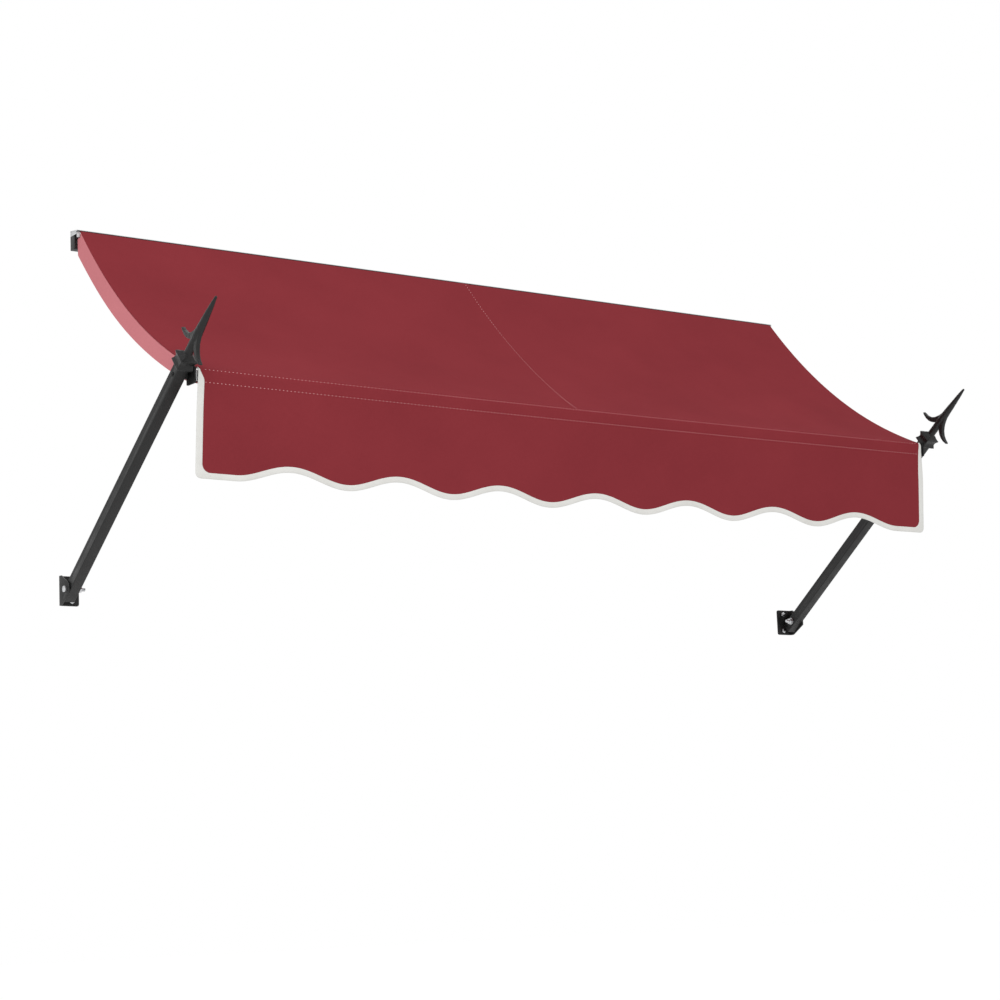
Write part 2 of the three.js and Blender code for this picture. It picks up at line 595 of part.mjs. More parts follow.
// Each side: bracket, pivot hardware, arm, finial and bar fitting
for (const [name, side] of [['left', -1], ['right', 1]]) {
  const foot = new THREE.Group();
  foot.position.set(side * armX, -pivot.x, pivot.y);
  wallMount.add(foot);
  foot.add(node(`wall_bracket_${name}`, wallBracket(side), blackPaint()));
  for (const [level, end] of [['upper', 1], ['lower', -1]]) {
    const lag = node(`wall_screw_${name}_${level}`, bolt(LAG_SCREW, BRACKET_SHEET - SEAT_GAP), zinc());
    pointing(lag, 0, 1, 0).position.set(
      side * lagX, PIVOT_OUT - BRACKET_SHEET - SEAT_GAP, end * BRACKET_SCREW_SPACING / 2,
    );
    foot.add(lag);
  }
  const washerHole = PIVOT_BOLT.radius + BOLT_CLEARANCE;
  const washer = node(
    `pivot_washer_${name}`, ring(PIVOT_WASHER.radius, washerHole, PIVOT_WASHER.height), zinc(),
  );
  pointing(washer, -side, 0, 0).position.x = -side * (ARM / 2 + SEAT_GAP);
  const nutSeat = ARM / 2 + PIVOT_WASHER.height + 2 * SEAT_GAP;
  const nutBlank = ring(PIVOT_NUT.across / Math.sqrt(3), PIVOT_BOLT.radius + SEAT_GAP, PIVOT_NUT.height, 6);
  const nut = node(`pivot_nut_${name}`, nutBlank, zinc());
  pointing(nut, -side, 0, 0).position.x = -side * nutSeat;
  const boltLength = earOuter + SEAT_GAP + nutSeat + PIVOT_NUT.height + PIVOT_THREAD_SPARE;
  const pivotBolt = node(`pivot_bolt_${name}`, bolt(PIVOT_BOLT, boltLength), zinc());
  pointing(pivotBolt, -side, 0, 0).position.x = side * (earOuter + SEAT_GAP);
  foot.add(washer, nut, pivotBolt);

  const arm = new THREE.Group();
  arm.position.copy(foot.position);
  arm.rotation.x = Math.PI / 2 - armAngle;
  armFrame.add(arm);
  arm.add(node(`arm_${name}`, armTube(), blackPaint()));
  const spear = node(`spear_finial_${name}`, finial(), castBlack());
  spear.position.z = collarStart;
  const setScrew = node(
    `finial_screw_${name}`, bolt(FINIAL_SCREW, COLLAR_WAIST / 2 - ARM / 2 - SEAT_GAP, ROUND_SIDES), zinc(),
  );
  pointing(setScrew, 0, -1, 0).position.set(0, COLLAR_WAIST / 2 + SEAT_GAP, collarStart + finialScrewZ);
  const boltReach = armX - fittingX + ARM / 2;
  const barBolt = node(`bar_bolt_${name}`, bolt(BAR_BOLT, boltReach, ROUND_SIDES), blackPaint());
  pointing(barBolt, -side, 0, 0).position.set(side * (ARM / 2 + SEAT_GAP), 0, bossAlongArm);
  arm.add(spear, setScrew, barBolt);
  armFrame.add(node(`bar_end_fitting_${name}`, endFitting(side), blackPaint()));
}

export default awning;
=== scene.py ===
import math

import bmesh
import bpy
from mathutils import Matrix, Vector, noise


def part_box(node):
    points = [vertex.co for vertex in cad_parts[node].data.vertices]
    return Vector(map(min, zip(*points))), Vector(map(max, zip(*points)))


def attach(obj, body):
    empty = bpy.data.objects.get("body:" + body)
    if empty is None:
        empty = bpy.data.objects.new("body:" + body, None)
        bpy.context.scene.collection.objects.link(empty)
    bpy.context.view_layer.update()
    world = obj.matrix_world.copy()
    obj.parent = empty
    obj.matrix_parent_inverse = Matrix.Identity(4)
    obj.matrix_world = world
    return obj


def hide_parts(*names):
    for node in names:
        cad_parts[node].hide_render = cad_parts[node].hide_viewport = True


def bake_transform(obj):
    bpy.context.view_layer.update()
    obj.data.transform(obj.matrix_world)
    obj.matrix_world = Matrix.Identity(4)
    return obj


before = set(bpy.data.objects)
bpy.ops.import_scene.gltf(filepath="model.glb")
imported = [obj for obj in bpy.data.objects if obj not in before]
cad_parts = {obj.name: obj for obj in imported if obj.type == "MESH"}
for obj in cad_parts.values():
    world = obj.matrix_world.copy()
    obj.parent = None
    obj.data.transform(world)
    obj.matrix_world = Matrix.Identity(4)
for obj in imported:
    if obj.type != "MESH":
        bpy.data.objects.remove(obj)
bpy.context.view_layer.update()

# Lengths are metres. The wall is the plane Y = 0, the awning stands out towards -Y,
# and Z = 0 is the height at which the canopy leaves the head rail.
WALL_BODY = "wall_mount"
ARM_BODY = "arm_frame"
SIDES = (("left", -1), ("right", 1))
BLOCKS = ("left", "center", "right")
TO_WALL = Vector((0.0, 1.0, 0.0))
UPWARDS = Vector((0.0, 0.0, 1.0))
SIDEWAYS = Vector((1.0, 0.0, 0.0))

# Camera at the photograph's angle
LENS = 88.128
SENSOR = 36.0
EYE = Vector((-4.0107, -5.7937, -1.8059))
VIEW_RIGHT = Vector((0.8154, -0.5775, -0.0400))
VIEW_DOWN = Vector((0.0618, 0.1555, -0.9859))
VIEW_AHEAD = Vector((0.5756, 0.8014, 0.1625))

# Floor and light
WHITE = (1.0, 1.0, 1.0, 1.0)
FLOOR_HEIGHT = -2.45
FLOOR_HALF = 30.0
FLOOR_TONE = (0.86, 0.86, 0.86, 1.0)
FLOOR_GLOW = 0.37
FLOOR_ROUGHNESS = 0.9
AMBIENT = 0.74
KEY_PLACE = Vector((-4.2, -5.6, 3.4))
KEY_AIM = Vector((0.0, -0.4, -0.5))
KEY_SIZE = 4.0
KEY_POWER = 135.0

# Finishes. Tones go from the darkest to the lightest.
CANOPY_TONES = ((0.238, 0.0322, 0.0400), (0.268, 0.0366, 0.0454), (0.298, 0.0415, 0.0508))
# The side flanges are the canopy's cloth painted paler: painted light where the flanges catch the
# light.
LIT_FLANGE_TONES = ((0.66, 0.222, 0.245), (0.71, 0.243, 0.268), (0.76, 0.270, 0.295))
TAPE_TONES = ((0.79, 0.78, 0.74), (0.86, 0.855, 0.82), (0.90, 0.895, 0.86))
STITCH_TONES = ((0.80, 0.37, 0.38), (0.92, 0.49, 0.50))
# The darkest aluminium tone is the painted shade at the cloth slot's mouth.
ALUMINIUM_TONES = ((0.018, 0.015, 0.014), (0.56, 0.565, 0.57), (0.62, 0.625, 0.63))
ZINC_TONES = ((0.46, 0.47, 0.48), (0.70, 0.71, 0.72))
CLOTH_GLOSS = 0.02
TAPE_GLOSS = 0.25
TAPE_SHEEN = 0.1
WEAVE_PITCH = 0.0013
RIB_PITCH = 0.0016
PAINT = {
    "colours": ((0.003, 0.003, 0.003), (0.019, 0.019, 0.019), (0.075, 0.074, 0.072)),
    "stops": (0.10, 0.30, 0.85), "gloss": 0.33, "dullness": (0.34, 0.64), "rub": 0.0012,
    "scuff": 28.0, "grain": (620.0, 2.0, 0.5), "bump": (0.35, 0.0004),
}
# The bar end fittings' coat is the black paint made blacker and duller, partly for their own blacker
# finish and partly as painted shade.
MOULDING_AND_SHADE = {
    **PAINT, "gloss": 0.22,
    "colours": ((0.006, 0.006, 0.006), (0.009, 0.009, 0.009), (0.04, 0.04, 0.039)),
}
CASTING = {
    "colours": ((0.008, 0.008, 0.008), (0.013, 0.013, 0.013), (0.09, 0.088, 0.085)),
    "stops": (0.10, 0.32, 0.85), "gloss": 0.30, "dullness": (0.24, 0.42), "rub": 0.0016,
    "scuff": 60.0, "grain": (900.0, 3.0, 0.6), "bump": (0.5, 0.0005),
}
# Bounds of the painted shade on the rail's lip: its front, and its lower and upper edges.
LIP_SHADE_FRONT = (-0.0425, -0.0400)
LIP_SHADE_FLOOR = (-0.003, -0.001)
LIP_SHADE_ROOF = (0.0027, 0.0033)

# Cloth
HALF_WIDTH = 1.219
CLOTH = 0.0010
LAYER = 0.0011
SAG_TOP = (0.0452, 0.0)
SAG_MIDDLE = (0.322, -0.347)
FOLD = (0.678, -0.501)
SLOT_RUN = 0.0055
SLOT_SHARE = 0.008
SAG_STEPS = 200
CANOPY_ROWS = 64
CANOPY_COLUMNS = 90
ROW_CROWDING = 1.15
SEAM_TOP = 0.0213
SEAM_SHIFT = -0.0923
SEAM_CURVE = 3
SEAM_LAP = 0.018
SEAM_RISE = 1.8
FLANGE_TOP_WIDTH = 0.050
FLANGE_FRONT_WIDTH = 0.038
FLANGE_HEM = 0.012
FLANGE_ROLL = 0.002
FLANGE_INSET = 0.0006
FLANGE_COLUMNS = 110
FLANGE_ROWS = 26
BLOCK_CLEAR = 0.0274
RAIL_CLEAR = 0.0464
LIP_CLEAR = -0.0162

# Ripples of the cloth: height, rate along the awning, start, and rate down the cloth
CANOPY_SWELL = (0.0011, 4.7, 0.8, 0.0)
CANOPY_RIPPLE = (0.0007, 11.3, 2.1, 2.4)
FRONT_PULL = (0.0005, 23.0, 0.0, 5.0)
PULL_RISE = (0.5, 0.95)
VALANCE_SWELL = (0.0016, 6.3, 0.4, 0.0)
VALANCE_RIPPLE = (0.0011, 17.0, 1.9, 0.0)
VALANCE_LOOSENESS = 1.4
FLANGE_RIPPLE = (0.0012, 0.0, 1.0, 9.0)
POCKET_RIPPLE = (0.0004, 13.0, 0.0, 40.0)
POCKET_SLACK = 0.0004

# Front fold and valance. The bar bends a little under its own weight and the cloth's.
BAR_BOW = 0.004
BOW_CUTS = 40
ROLL = 0.013
VALANCE_TILT = math.radians(4.5)
VALANCE_DROP = 0.267
VALANCE_LAP = 0.012
VALANCE_COLUMNS = 330
HANG_ROWS = 18
ROLL_ROWS = 8
SCALLOPS = 7
SCALLOP_RISE = 0.033
MIDDLE_LENGTH = 0.004
END_LOBE = 0.108
WAVY_HALF = HALF_WIDTH - END_LOBE
SCALLOP_PITCH = 2 * WAVY_HALF / SCALLOPS
LEFT_FLARE = 0.002
RIGHT_FLARE = 0.007
FLARE_FULL = 0.12
FLARE_REACH = 8
BINDING_WIDTH = 0.015
SIDE_BINDING_WIDTH = 0.018
BINDING_HALF_THICK = 0.0017
OUTER_CORNER = 0.015
INNER_CORNER = 0.022
CORNER_STATIONS = 14
LEFT_TAPER = 0.030
RIGHT_TAPER = 0.090
BINDING_TIP_WIDTH = 0.004
BINDING_TOP = -0.004
BINDING_SIDES = 14
BINDING_FLATNESS = 0.6
BINDING_FULLNESS = 0.75
BINDING_STEP = 0.006
CLOTH_UNDER_BINDING = 0.007

# Pocket round the front bar
POCKET_HALF = 0.0138
POCKET_ROUND = 0.005
POCKET_COLUMNS = 160
POCKET_INSET = 0.0025
POCKET_REACH = 0.012
POCKET_LAYER = 0.0012
POCKET_FALL = 0.002
POCKET_TAIL = 0.009
TAIL_LEAN = 0.001
POCKET_HELD = 0.02

# Stitches
STITCH_PITCH = 0.0108
STITCH_LENGTH = 0.0041
STITCH_WIDTH = 0.0019
STITCH_HEIGHT = 0.0017
STITCH_MARGIN = 0.004
SEAM_STITCH_BACK = 0.004
SEAM_STITCH_AIM = 0.002
UPPER_ROW_DROP = 0.001
LOWER_ROW_DROP = 0.032

# Rigid pieces. A plug's back and front are given as (out, floor, roof).
PLUG_SINK = 0.0006
PLUG_DEPTH = 0.010
PLUG_BACK = (0.0023, -0.0027, 0.0087)
PLUG_FRONT = (0.0297, -0.0027, 0.0027)
MERGE = 1e-6
SLIVER = 5e-6
BLOCK_EASE = 0.0009
BLOCK_GAP = 0.0002
FLAT_ANGLE = math.radians(0.6)
EDGE_ANGLE = math.radians(32)
SHARP_ANGLE = math.radians(38)
CLOTH_ANGLE = math.radians(70)
CASTING_ANGLE = math.radians(80)
TUBE_EASE = 0.0003
CORD_EASE = 0.0006
FITTING_EASE = 0.0009
EASE_STEPS = 2
FINE_STEPS = 3
CORNER_STEPS = 5
BEND_STEPS = 6
ROUND_STEPS = 32
CASTING_VOXEL = 0.0010
CASTING_SOFTENING = 2
DENT_SIZE = 0.0058
DENT_DEPTH = 0.0006
DENT_RIM = 0.75
DENT_LEVEL = 0.6
BRACKET_SHEET = 0.0035
BRACKET_BEND = 0.005
BRACKET_CROTCH = 0.0015
BRACKET_CORNER = 0.006
BRACKET_EASE = 0.0006

# Fasteners. Chamfers, rims, recesses and domes are shares of the piece's own size.
WALL_SCREW = {"across": 0.013, "head": 0.005, "radius": 0.0032}
PIVOT_BOLT = {"across": 0.016, "head": 0.006, "radius": 0.0045, "thread_start": 0.038}
PIVOT_WASHER = {"outer": 0.0105, "inner": 0.0049}
PIVOT_NUT = {"across": 0.016, "hole": 0.0047}
CLAMP_SCREW = {"across": 0.009, "head": 0.0032, "radius": 0.0025}
BAR_BOLT = {"across": 0.011, "head": 0.0033, "radius": 0.003}
HEX_CHAMFER = 0.12
HEX_SPREAD = 1.7
HEX_EASE = 0.00025
SHANK_START = 0.8
WASHER_EASE = 0.2
NUT_HOLE_STEPS = 24
NUT_RIM = 0.8
NUT_EASE = 0.0006
SET_SCREW_EASE = 0.0006
SHANK_EASE = 0.0006
BUTTON_SHANK_EASE = 0.0005
RECESS_WIDTH = 0.62
RECESS_FLOOR = 0.55
RECESS_LIP = 0.08
RECESS_EASE = 0.0002
BUTTON_DOME = ((0.55, 0.06), (0.8, 0.24), (0.95, 0.52), (1.0, 0.8), (1.0, 1.0))
THREAD_PITCH = 0.00125
THREAD_DEPTH = 0.0006


def lerp(a, b, share):
    return a + (b - a) * share


def smooth(low, high, value):
    share = min(max((value - low) / (high - low), 0.0), 1.0)
    return share * share * (3 - 2 * share)


def place(x, out, up):
    return Vector((x, -out, up))


def bow(x):
    """How far the front bar hangs below its ends at a place along it."""
    return BAR_BOW * (1 - (x / HALF_WIDTH) ** 2)


def ripple(x, down, height, rate, start, down_rate):
    return height * math.sin(rate * x + start + down_rate * down)


# Finishes


def new_finish(name):
    finish = bpy.data.materials.new(name)
    finish.use_nodes = True
    tree = finish.node_tree
    return finish, tree, tree.nodes["Principled BSDF"]


def add(tree, kind, sockets=None, **settings):
    made = tree.nodes.new("ShaderNode" + kind)
    for key, value in settings.items():
        setattr(made, key, value)
    for key, value in (sockets or {}).items():
        if isinstance(value, bpy.types.NodeSocket):
            tree.links.new(value, made.inputs[key])
        else:
            made.inputs[key].default_value = value
    return made


def coloured(tree, shader, factor, stops, colours, dullness):
    """Gives a shader its colours, at their stops along a factor, and its roughness."""
    ramp = add(tree, "ValToRGB", {"Fac": factor})
    elements = ramp.color_ramp.elements
    while len(elements) < len(stops):
        elements.new(0.5)
    for element, stop, colour in zip(elements, stops, colours):
        element.position = stop
        element.color = (*colour, 1.0)
    tree.links.new(ramp.outputs["Color"], shader.inputs["Base Color"])
    tree.links.new(dullness, shader.inputs["Roughness"])


def spread(tree, factor, low, high, least=0.25, most=0.75):
    ranged = add(tree, "MapRange", {
        "Value": factor, "From Min": least, "From Max": most, "To Min": low, "To Max": high,
    })
    return ranged.outputs["Result"]


def math_of(tree, operation, first, second):
    return add(tree, "Math", {0: first, 1: second}, operation=operation).outputs["Value"]


def sine_of(tree, value, pitch):
    phase = math_of(tree, "MULTIPLY", value, 2 * math.pi / pitch)
    return add(tree, "Math", {0: phase}, operation="SINE").outputs["Value"]


def weighed(tree, first, first_share, second, second_share):
    return math_of(
        tree, "ADD",
        math_of(tree, "MULTIPLY", first, first_share),
        math_of(tree, "MULTIPLY", second, second_share),
    )


def noise_of(tree, vector, scale, detail=3.0, roughness=0.5):
    made = add(tree, "TexNoise", {
        "Vector": vector, "Scale": scale, "Detail": detail, "Roughness": roughness,
    })
    return made.outputs["Fac"]


def stretched(tree, vector, scale):
    return add(tree, "Mapping", {"Vector": vector, "Scale": scale}).outputs["Vector"]


def raised(tree, shader, height, strength, distance):
    bump = add(tree, "Bump", {"Height": height, "Strength": strength, "Distance": distance})
    tree.links.new(bump.outputs["Normal"], shader.inputs["Normal"])


def worn_edges(tree, radius, vector):
    """A factor that is 1 along edges that rub, broken up by noise."""
    rounded = add(tree, "Bevel", {"Radius": radius}, samples=4)
    flat = add(tree, "NewGeometry")
    facing = add(tree, "VectorMath", {
        0: rounded.outputs["Normal"], 1: flat.outputs["Normal"],
    }, operation="DOT_PRODUCT")
    edge = spread(tree, facing.outputs["Value"], 1.0, 0.0, least=0.86, most=0.99)
    patchy = noise_of(tree, vector, scale=120.0, detail=4.0)
    return math_of(tree, "MULTIPLY", edge, spread(tree, patchy, 0.0, 1.0, least=0.40, most=0.62))


def woven_cloth(name, colours):
    """Plain-weave cloth with slubs in its threads and a faint uneven fading."""
    finish, tree, shader = new_finish(name)
    flat = add(tree, "TexCoord").outputs["UV"]
    axes = add(tree, "SeparateXYZ", {"Vector": flat}).outputs
    weave = math_of(
        tree, "MULTIPLY", sine_of(tree, axes["X"], WEAVE_PITCH), sine_of(tree, axes["Y"], WEAVE_PITCH),
    )
    warp_slub = noise_of(tree, stretched(tree, flat, (900.0, 60.0, 1.0)), scale=1.0, detail=2.0)
    weft_slub = noise_of(tree, stretched(tree, flat, (60.0, 900.0, 1.0)), scale=1.0, detail=2.0)
    slub = math_of(tree, "ADD", warp_slub, weft_slub)
    fading = noise_of(tree, flat, scale=2.6, detail=5.0, roughness=0.6)
    shade = weighed(tree, slub, 0.35, fading, 0.65)
    dullness = spread(tree, slub, 0.80, 0.94, least=0.7, most=1.3)
    coloured(tree, shader, shade, (0.45, 0.68, 0.9), colours, dullness)
    height = math_of(tree, "ADD", math_of(tree, "MULTIPLY", weave, 0.5), slub)
    raised(tree, shader, height, strength=0.30, distance=0.00025)
    shader.inputs["Specular IOR Level"].default_value = CLOTH_GLOSS
    return finish


def ribbed_tape(name, colours):
    """Pale woven tape with fine ribs across it and patches of grime."""
    finish, tree, shader = new_finish(name)
    flat = add(tree, "TexCoord").outputs["UV"]
    axes = add(tree, "SeparateXYZ", {"Vector": flat}).outputs
    ribs = sine_of(tree, axes["X"], RIB_PITCH)
    fibre = noise_of(tree, stretched(tree, flat, (1500.0, 240.0, 1.0)), scale=1.0, detail=2.0)
    grime = noise_of(tree, flat, scale=9.0, detail=5.0, roughness=0.65)
    shade = weighed(tree, grime, 0.8, fibre, 0.2)
    coloured(tree, shader, shade, (0.30, 0.52, 0.75), colours, spread(tree, fibre, 0.78, 0.92))
    height = math_of(tree, "ADD", math_of(tree, "MULTIPLY", ribs, 0.5), fibre)
    raised(tree, shader, height, strength=0.35, distance=0.0003)
    shader.inputs["Specular IOR Level"].default_value = TAPE_GLOSS
    shader.inputs["Sheen Weight"].default_value = TAPE_SHEEN
    return finish


def sewing_thread(name, colours):
    """Spun thread with a fine fuzz."""
    finish, tree, shader = new_finish(name)
    where = add(tree, "TexCoord").outputs["Object"]
    shade = noise_of(tree, where, scale=700.0, detail=2.0)
    coloured(tree, shader, shade, (0.30, 0.70), colours, spread(tree, shade, 0.45, 0.65))
    fuzz = noise_of(tree, where, scale=4000.0, detail=1.0)
    raised(tree, shader, fuzz, strength=0.3, distance=0.0001)
    return finish


def black_coat(name, colours, stops, gloss, dullness, rub, scuff, grain, bump):
    """Black paint or lacquer: a fine grain, scuffs, and grey edges where it has rubbed."""
    finish, tree, shader = new_finish(name)
    where = add(tree, "TexCoord").outputs["Object"]
    scuffs = noise_of(tree, where, scale=scuff, detail=5.0, roughness=0.6)
    shade = weighed(tree, scuffs, 0.4, worn_edges(tree, rub, where), 0.6)
    coloured(tree, shader, shade, stops, colours, spread(tree, scuffs, *dullness))
    raised(tree, shader, noise_of(tree, where, *grain), *bump)
    shader.inputs["Specular IOR Level"].default_value = gloss
    return finish


def drawn_aluminium(name, colours):
    """Bare extrusion with fine drawing lines along it and painted shade on the front of the cloth
    slot's upper lip.
    """
    finish, tree, shader = new_finish(name)
    where = add(tree, "TexCoord").outputs["Object"]
    axes = add(tree, "SeparateXYZ", {"Vector": where}).outputs
    # Mask of the painted shade: the lip's front face just above the cloth slot.
    front = spread(tree, axes["Y"], 1.0, 0.0, *LIP_SHADE_FRONT)
    above = spread(tree, axes["Z"], 0.0, 1.0, *LIP_SHADE_FLOOR)
    below = spread(tree, axes["Z"], 1.0, 0.0, *LIP_SHADE_ROOF)
    slot_shade = math_of(tree, "MULTIPLY", math_of(tree, "MULTIPLY", front, above), below)
    lines = noise_of(tree, stretched(tree, where, (4.0, 1400.0, 1400.0)), scale=1.0, detail=3.0)
    cloud = noise_of(tree, where, scale=14.0, detail=4.0, roughness=0.6)
    haze_and_shade = math_of(tree, "SUBTRACT", cloud, slot_shade)
    coloured(tree, shader, haze_and_shade, (0.0, 0.30, 0.70), colours, spread(tree, lines, 0.30, 0.50))
    raised(tree, shader, lines, strength=0.2, distance=0.0001)
    # The painted shade also takes the metal away, so the lip's front stays dark.
    tree.links.new(math_of(tree, "SUBTRACT", 1.0, slot_shade), shader.inputs["Metallic"])
    return finish


def zinc_plate(name, colours):
    """Bright plated steel with a faint spangle."""
    finish, tree, shader = new_finish(name)
    where = add(tree, "TexCoord").outputs["Object"]
    spangle = add(tree, "TexVoronoi", {"Vector": where, "Scale": 420.0}).outputs["Color"]
    grey = add(tree, "SeparateXYZ", {"Vector": spangle}).outputs["X"]
    cloud = noise_of(tree, where, scale=160.0, detail=4.0)
    shade = weighed(tree, grey, 0.25, cloud, 0.75)
    coloured(tree, shader, shade, (0.25, 0.75), colours, spread(tree, cloud, 0.26, 0.46))
    raised(tree, shader, cloud, strength=0.12, distance=0.0002)
    shader.inputs["Metallic"].default_value = 1.0
    return finish


canopy_finish = woven_cloth("canopy_cloth", CANOPY_TONES)
# The flange cloth is the canopy cloth made paler as painted light.
lit_flange_finish = woven_cloth("flange_cloth", LIT_FLANGE_TONES)
tape_finish = ribbed_tape("edge_binding", TAPE_TONES)
thread_finish = sewing_thread("stitch_thread", STITCH_TONES)
paint_finish = black_coat("black_paint", **PAINT)
moulding_and_shade_finish = black_coat("black_moulding_and_shade", **MOULDING_AND_SHADE)
cast_finish = black_coat("cast_black", **CASTING)
rail_finish = drawn_aluminium("mill_aluminium", ALUMINIUM_TONES)
zinc_finish = zinc_plate("zinc", ZINC_TONES)


# Pieces


def finished(name, bm, finish, slot, nodes=(), sharp=SHARP_ANGLE):
    """Makes a bmesh a named piece that stands for the given solids."""
    mesh = bpy.data.meshes.new(name)
    bm.to_mesh(mesh)
    bm.free()
    mesh.materials.append(finish)
    mesh.shade_smooth()
    mesh.set_sharp_from_angle(angle=sharp)
    piece = bpy.data.objects.new(name, mesh)
    bpy.context.scene.collection.objects.link(piece)
    if nodes:
        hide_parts(*nodes)
    return piece


def follow_lift(piece):
    """Bakes the placement of cloth that reaches from the rail to the bar into its points."""
    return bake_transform(piece)


def cloth_piece(name, bm, finish, slot, node):
    """A sheet with the cloth's thickness and square cut edges."""
    piece = finished(name, bm, finish, slot, [node], CLOTH_ANGLE)
    sheet = bmesh.new()
    sheet.from_mesh(piece.data)
    for edge in sheet.edges:
        if edge.is_boundary:
            edge.smooth = False
    sheet.to_mesh(piece.data)
    sheet.free()
    shell = piece.modifiers.new("cloth_thickness", "SOLIDIFY")
    shell.thickness = CLOTH
    shell.offset = 0.0
    return piece


def lay_flat(bm, flat_place):
    """Stores where each point of a cloth lies in its flat cut."""
    cut = bm.loops.layers.uv.new("cut")
    for face in bm.faces:
        for loop in face.loops:
            loop[cut].uv = flat_place(loop.vert)


def cloth_grid(columns, rows, laid):
    """A grid of cloth. laid(u, v) gives each point in space and its place in the flat cut."""
    bm = bmesh.new()
    bmesh.ops.create_grid(bm, x_segments=columns, y_segments=rows, size=0.5)
    cut = {}
    for vert in bm.verts:
        vert.co, cut[vert] = laid(vert.co.x + 0.5, vert.co.y + 0.5)
    lay_flat(bm, cut.get)
    return bm


def pulled_on(bm, edges):
    """Extrudes a line of edges where it lies and gives the new edges and their points."""
    made = bmesh.ops.extrude_edge_only(bm, edges=edges)["geom"]
    fresh = {part for part in made if isinstance(part, bmesh.types.BMVert)}
    line = [
        part for part in made
        if isinstance(part, bmesh.types.BMEdge) and fresh.issuperset(part.verts)
    ]
    return line, fresh


def cut_across(bm, point, normal):
    """Splits a mesh along a plane and keeps both sides."""
    whole = bm.verts[:] + bm.edges[:] + bm.faces[:]
    bmesh.ops.bisect_plane(bm, geom=whole, dist=MERGE, plane_co=point, plane_no=normal)


def face_up(bm, towards):
    """Turns a sheet's faces so that they point the given way."""
    total = sum((face.normal * face.calc_area() for face in bm.faces), Vector())
    if total.dot(towards) < 0:
        bmesh.ops.reverse_faces(bm, faces=bm.faces)
    bm.normal_update()


# Canopy


def sag(t):
    """The canopy line at a share t of its way: a point and its outer normal, as (out, up)."""
    back = 1 - t
    bends = list(zip(SAG_TOP, SAG_MIDDLE, FOLD))
    point = [back * back * a + 2 * back * t * b + t * t * c for a, b, c in bends]
    run, fall = [back * (b - a) + t * (c - b) for a, b, c in bends]
    length = math.hypot(run, fall)
    return point, (-fall / length, run / length)


SAG_LENGTHS = [0.0]
for step in range(SAG_STEPS):
    start_point, _ = sag(step / SAG_STEPS)
    end_point, _ = sag((step + 1) / SAG_STEPS)
    SAG_LENGTHS.append(SAG_LENGTHS[-1] + math.dist(start_point, end_point))


def sag_length(t):
    """The length of the canopy line down to a share t of its way."""
    whole = min(max(t, 0.0), 1.0) * SAG_STEPS
    index = min(int(whole), SAG_STEPS - 1)
    return lerp(SAG_LENGTHS[index], SAG_LENGTHS[index + 1], whole - index) + min(t, 0.0)


def canopy_point(x, t, above=0.0):
    """A point of the canopy, raised above its line, with the slack waves of the cloth."""
    if t < 0:
        return place(x, SAG_TOP[0] + SLOT_RUN * t / SLOT_SHARE, above)
    (out, up), (across, rise) = sag(t)
    slack = math.sin(math.pi * t)
    waves = ripple(x, t, *CANOPY_SWELL) + ripple(x, t, *CANOPY_RIPPLE)
    pull = ripple(x, t, *FRONT_PULL) * smooth(*PULL_RISE, t)
    lift = above + slack * waves + pull * math.sqrt(math.sin(math.pi * min(t, 1.0)))
    return place(x, out + across * lift, up + rise * lift - bow(x) * t * t)


def facing(line_place):
    """The outer normal at a place on the canopy's or the valance's line."""
    _, (across, rise) = line_place
    return place(0.0, across, rise)


def seam_x(t):
    return SEAM_TOP + SEAM_SHIFT * max(t, 0.0) ** SEAM_CURVE


FRONT_SLOPE = math.atan2(FOLD[1] - SAG_MIDDLE[1], FOLD[0] - SAG_MIDDLE[0])
TURN = math.pi / 2 + FRONT_SLOPE + VALANCE_TILT
TANGENT = ROLL * math.tan(TURN / 2)
ARC = ROLL * TURN
FRONT_RUN = 2 * math.dist(FOLD, SAG_MIDDLE)
CANOPY_END = 1 - TANGENT / FRONT_RUN


def canopy_panel(side):
    edge = side * HALF_WIDTH

    def laid(u, v):
        t = lerp(-SLOT_SHARE, CANOPY_END, v ** ROW_CROWDING)
        inner = seam_x(t) - side * SEAM_LAP / 2
        x = lerp(edge, inner, u)
        over = smooth(SEAM_LAP * SEAM_RISE, SEAM_LAP, abs(x - inner)) if side < 0 else 0.0
        return canopy_point(x, t, over * LAYER), (x, sag_length(t))

    bm = cloth_grid(CANOPY_COLUMNS, CANOPY_ROWS, laid)
    face_up(bm, Vector((0.0, -1.0, 1.0)))
    return bm


for name, side in SIDES:
    panel = cloth_piece(
        f"canopy_cloth_{name}", canopy_panel(side), canopy_finish, "canopy_cloth",
        f"canopy_panel_{name}",
    )
    follow_lift(panel)


# Side flanges, sewn under the canopy's edges and turned down


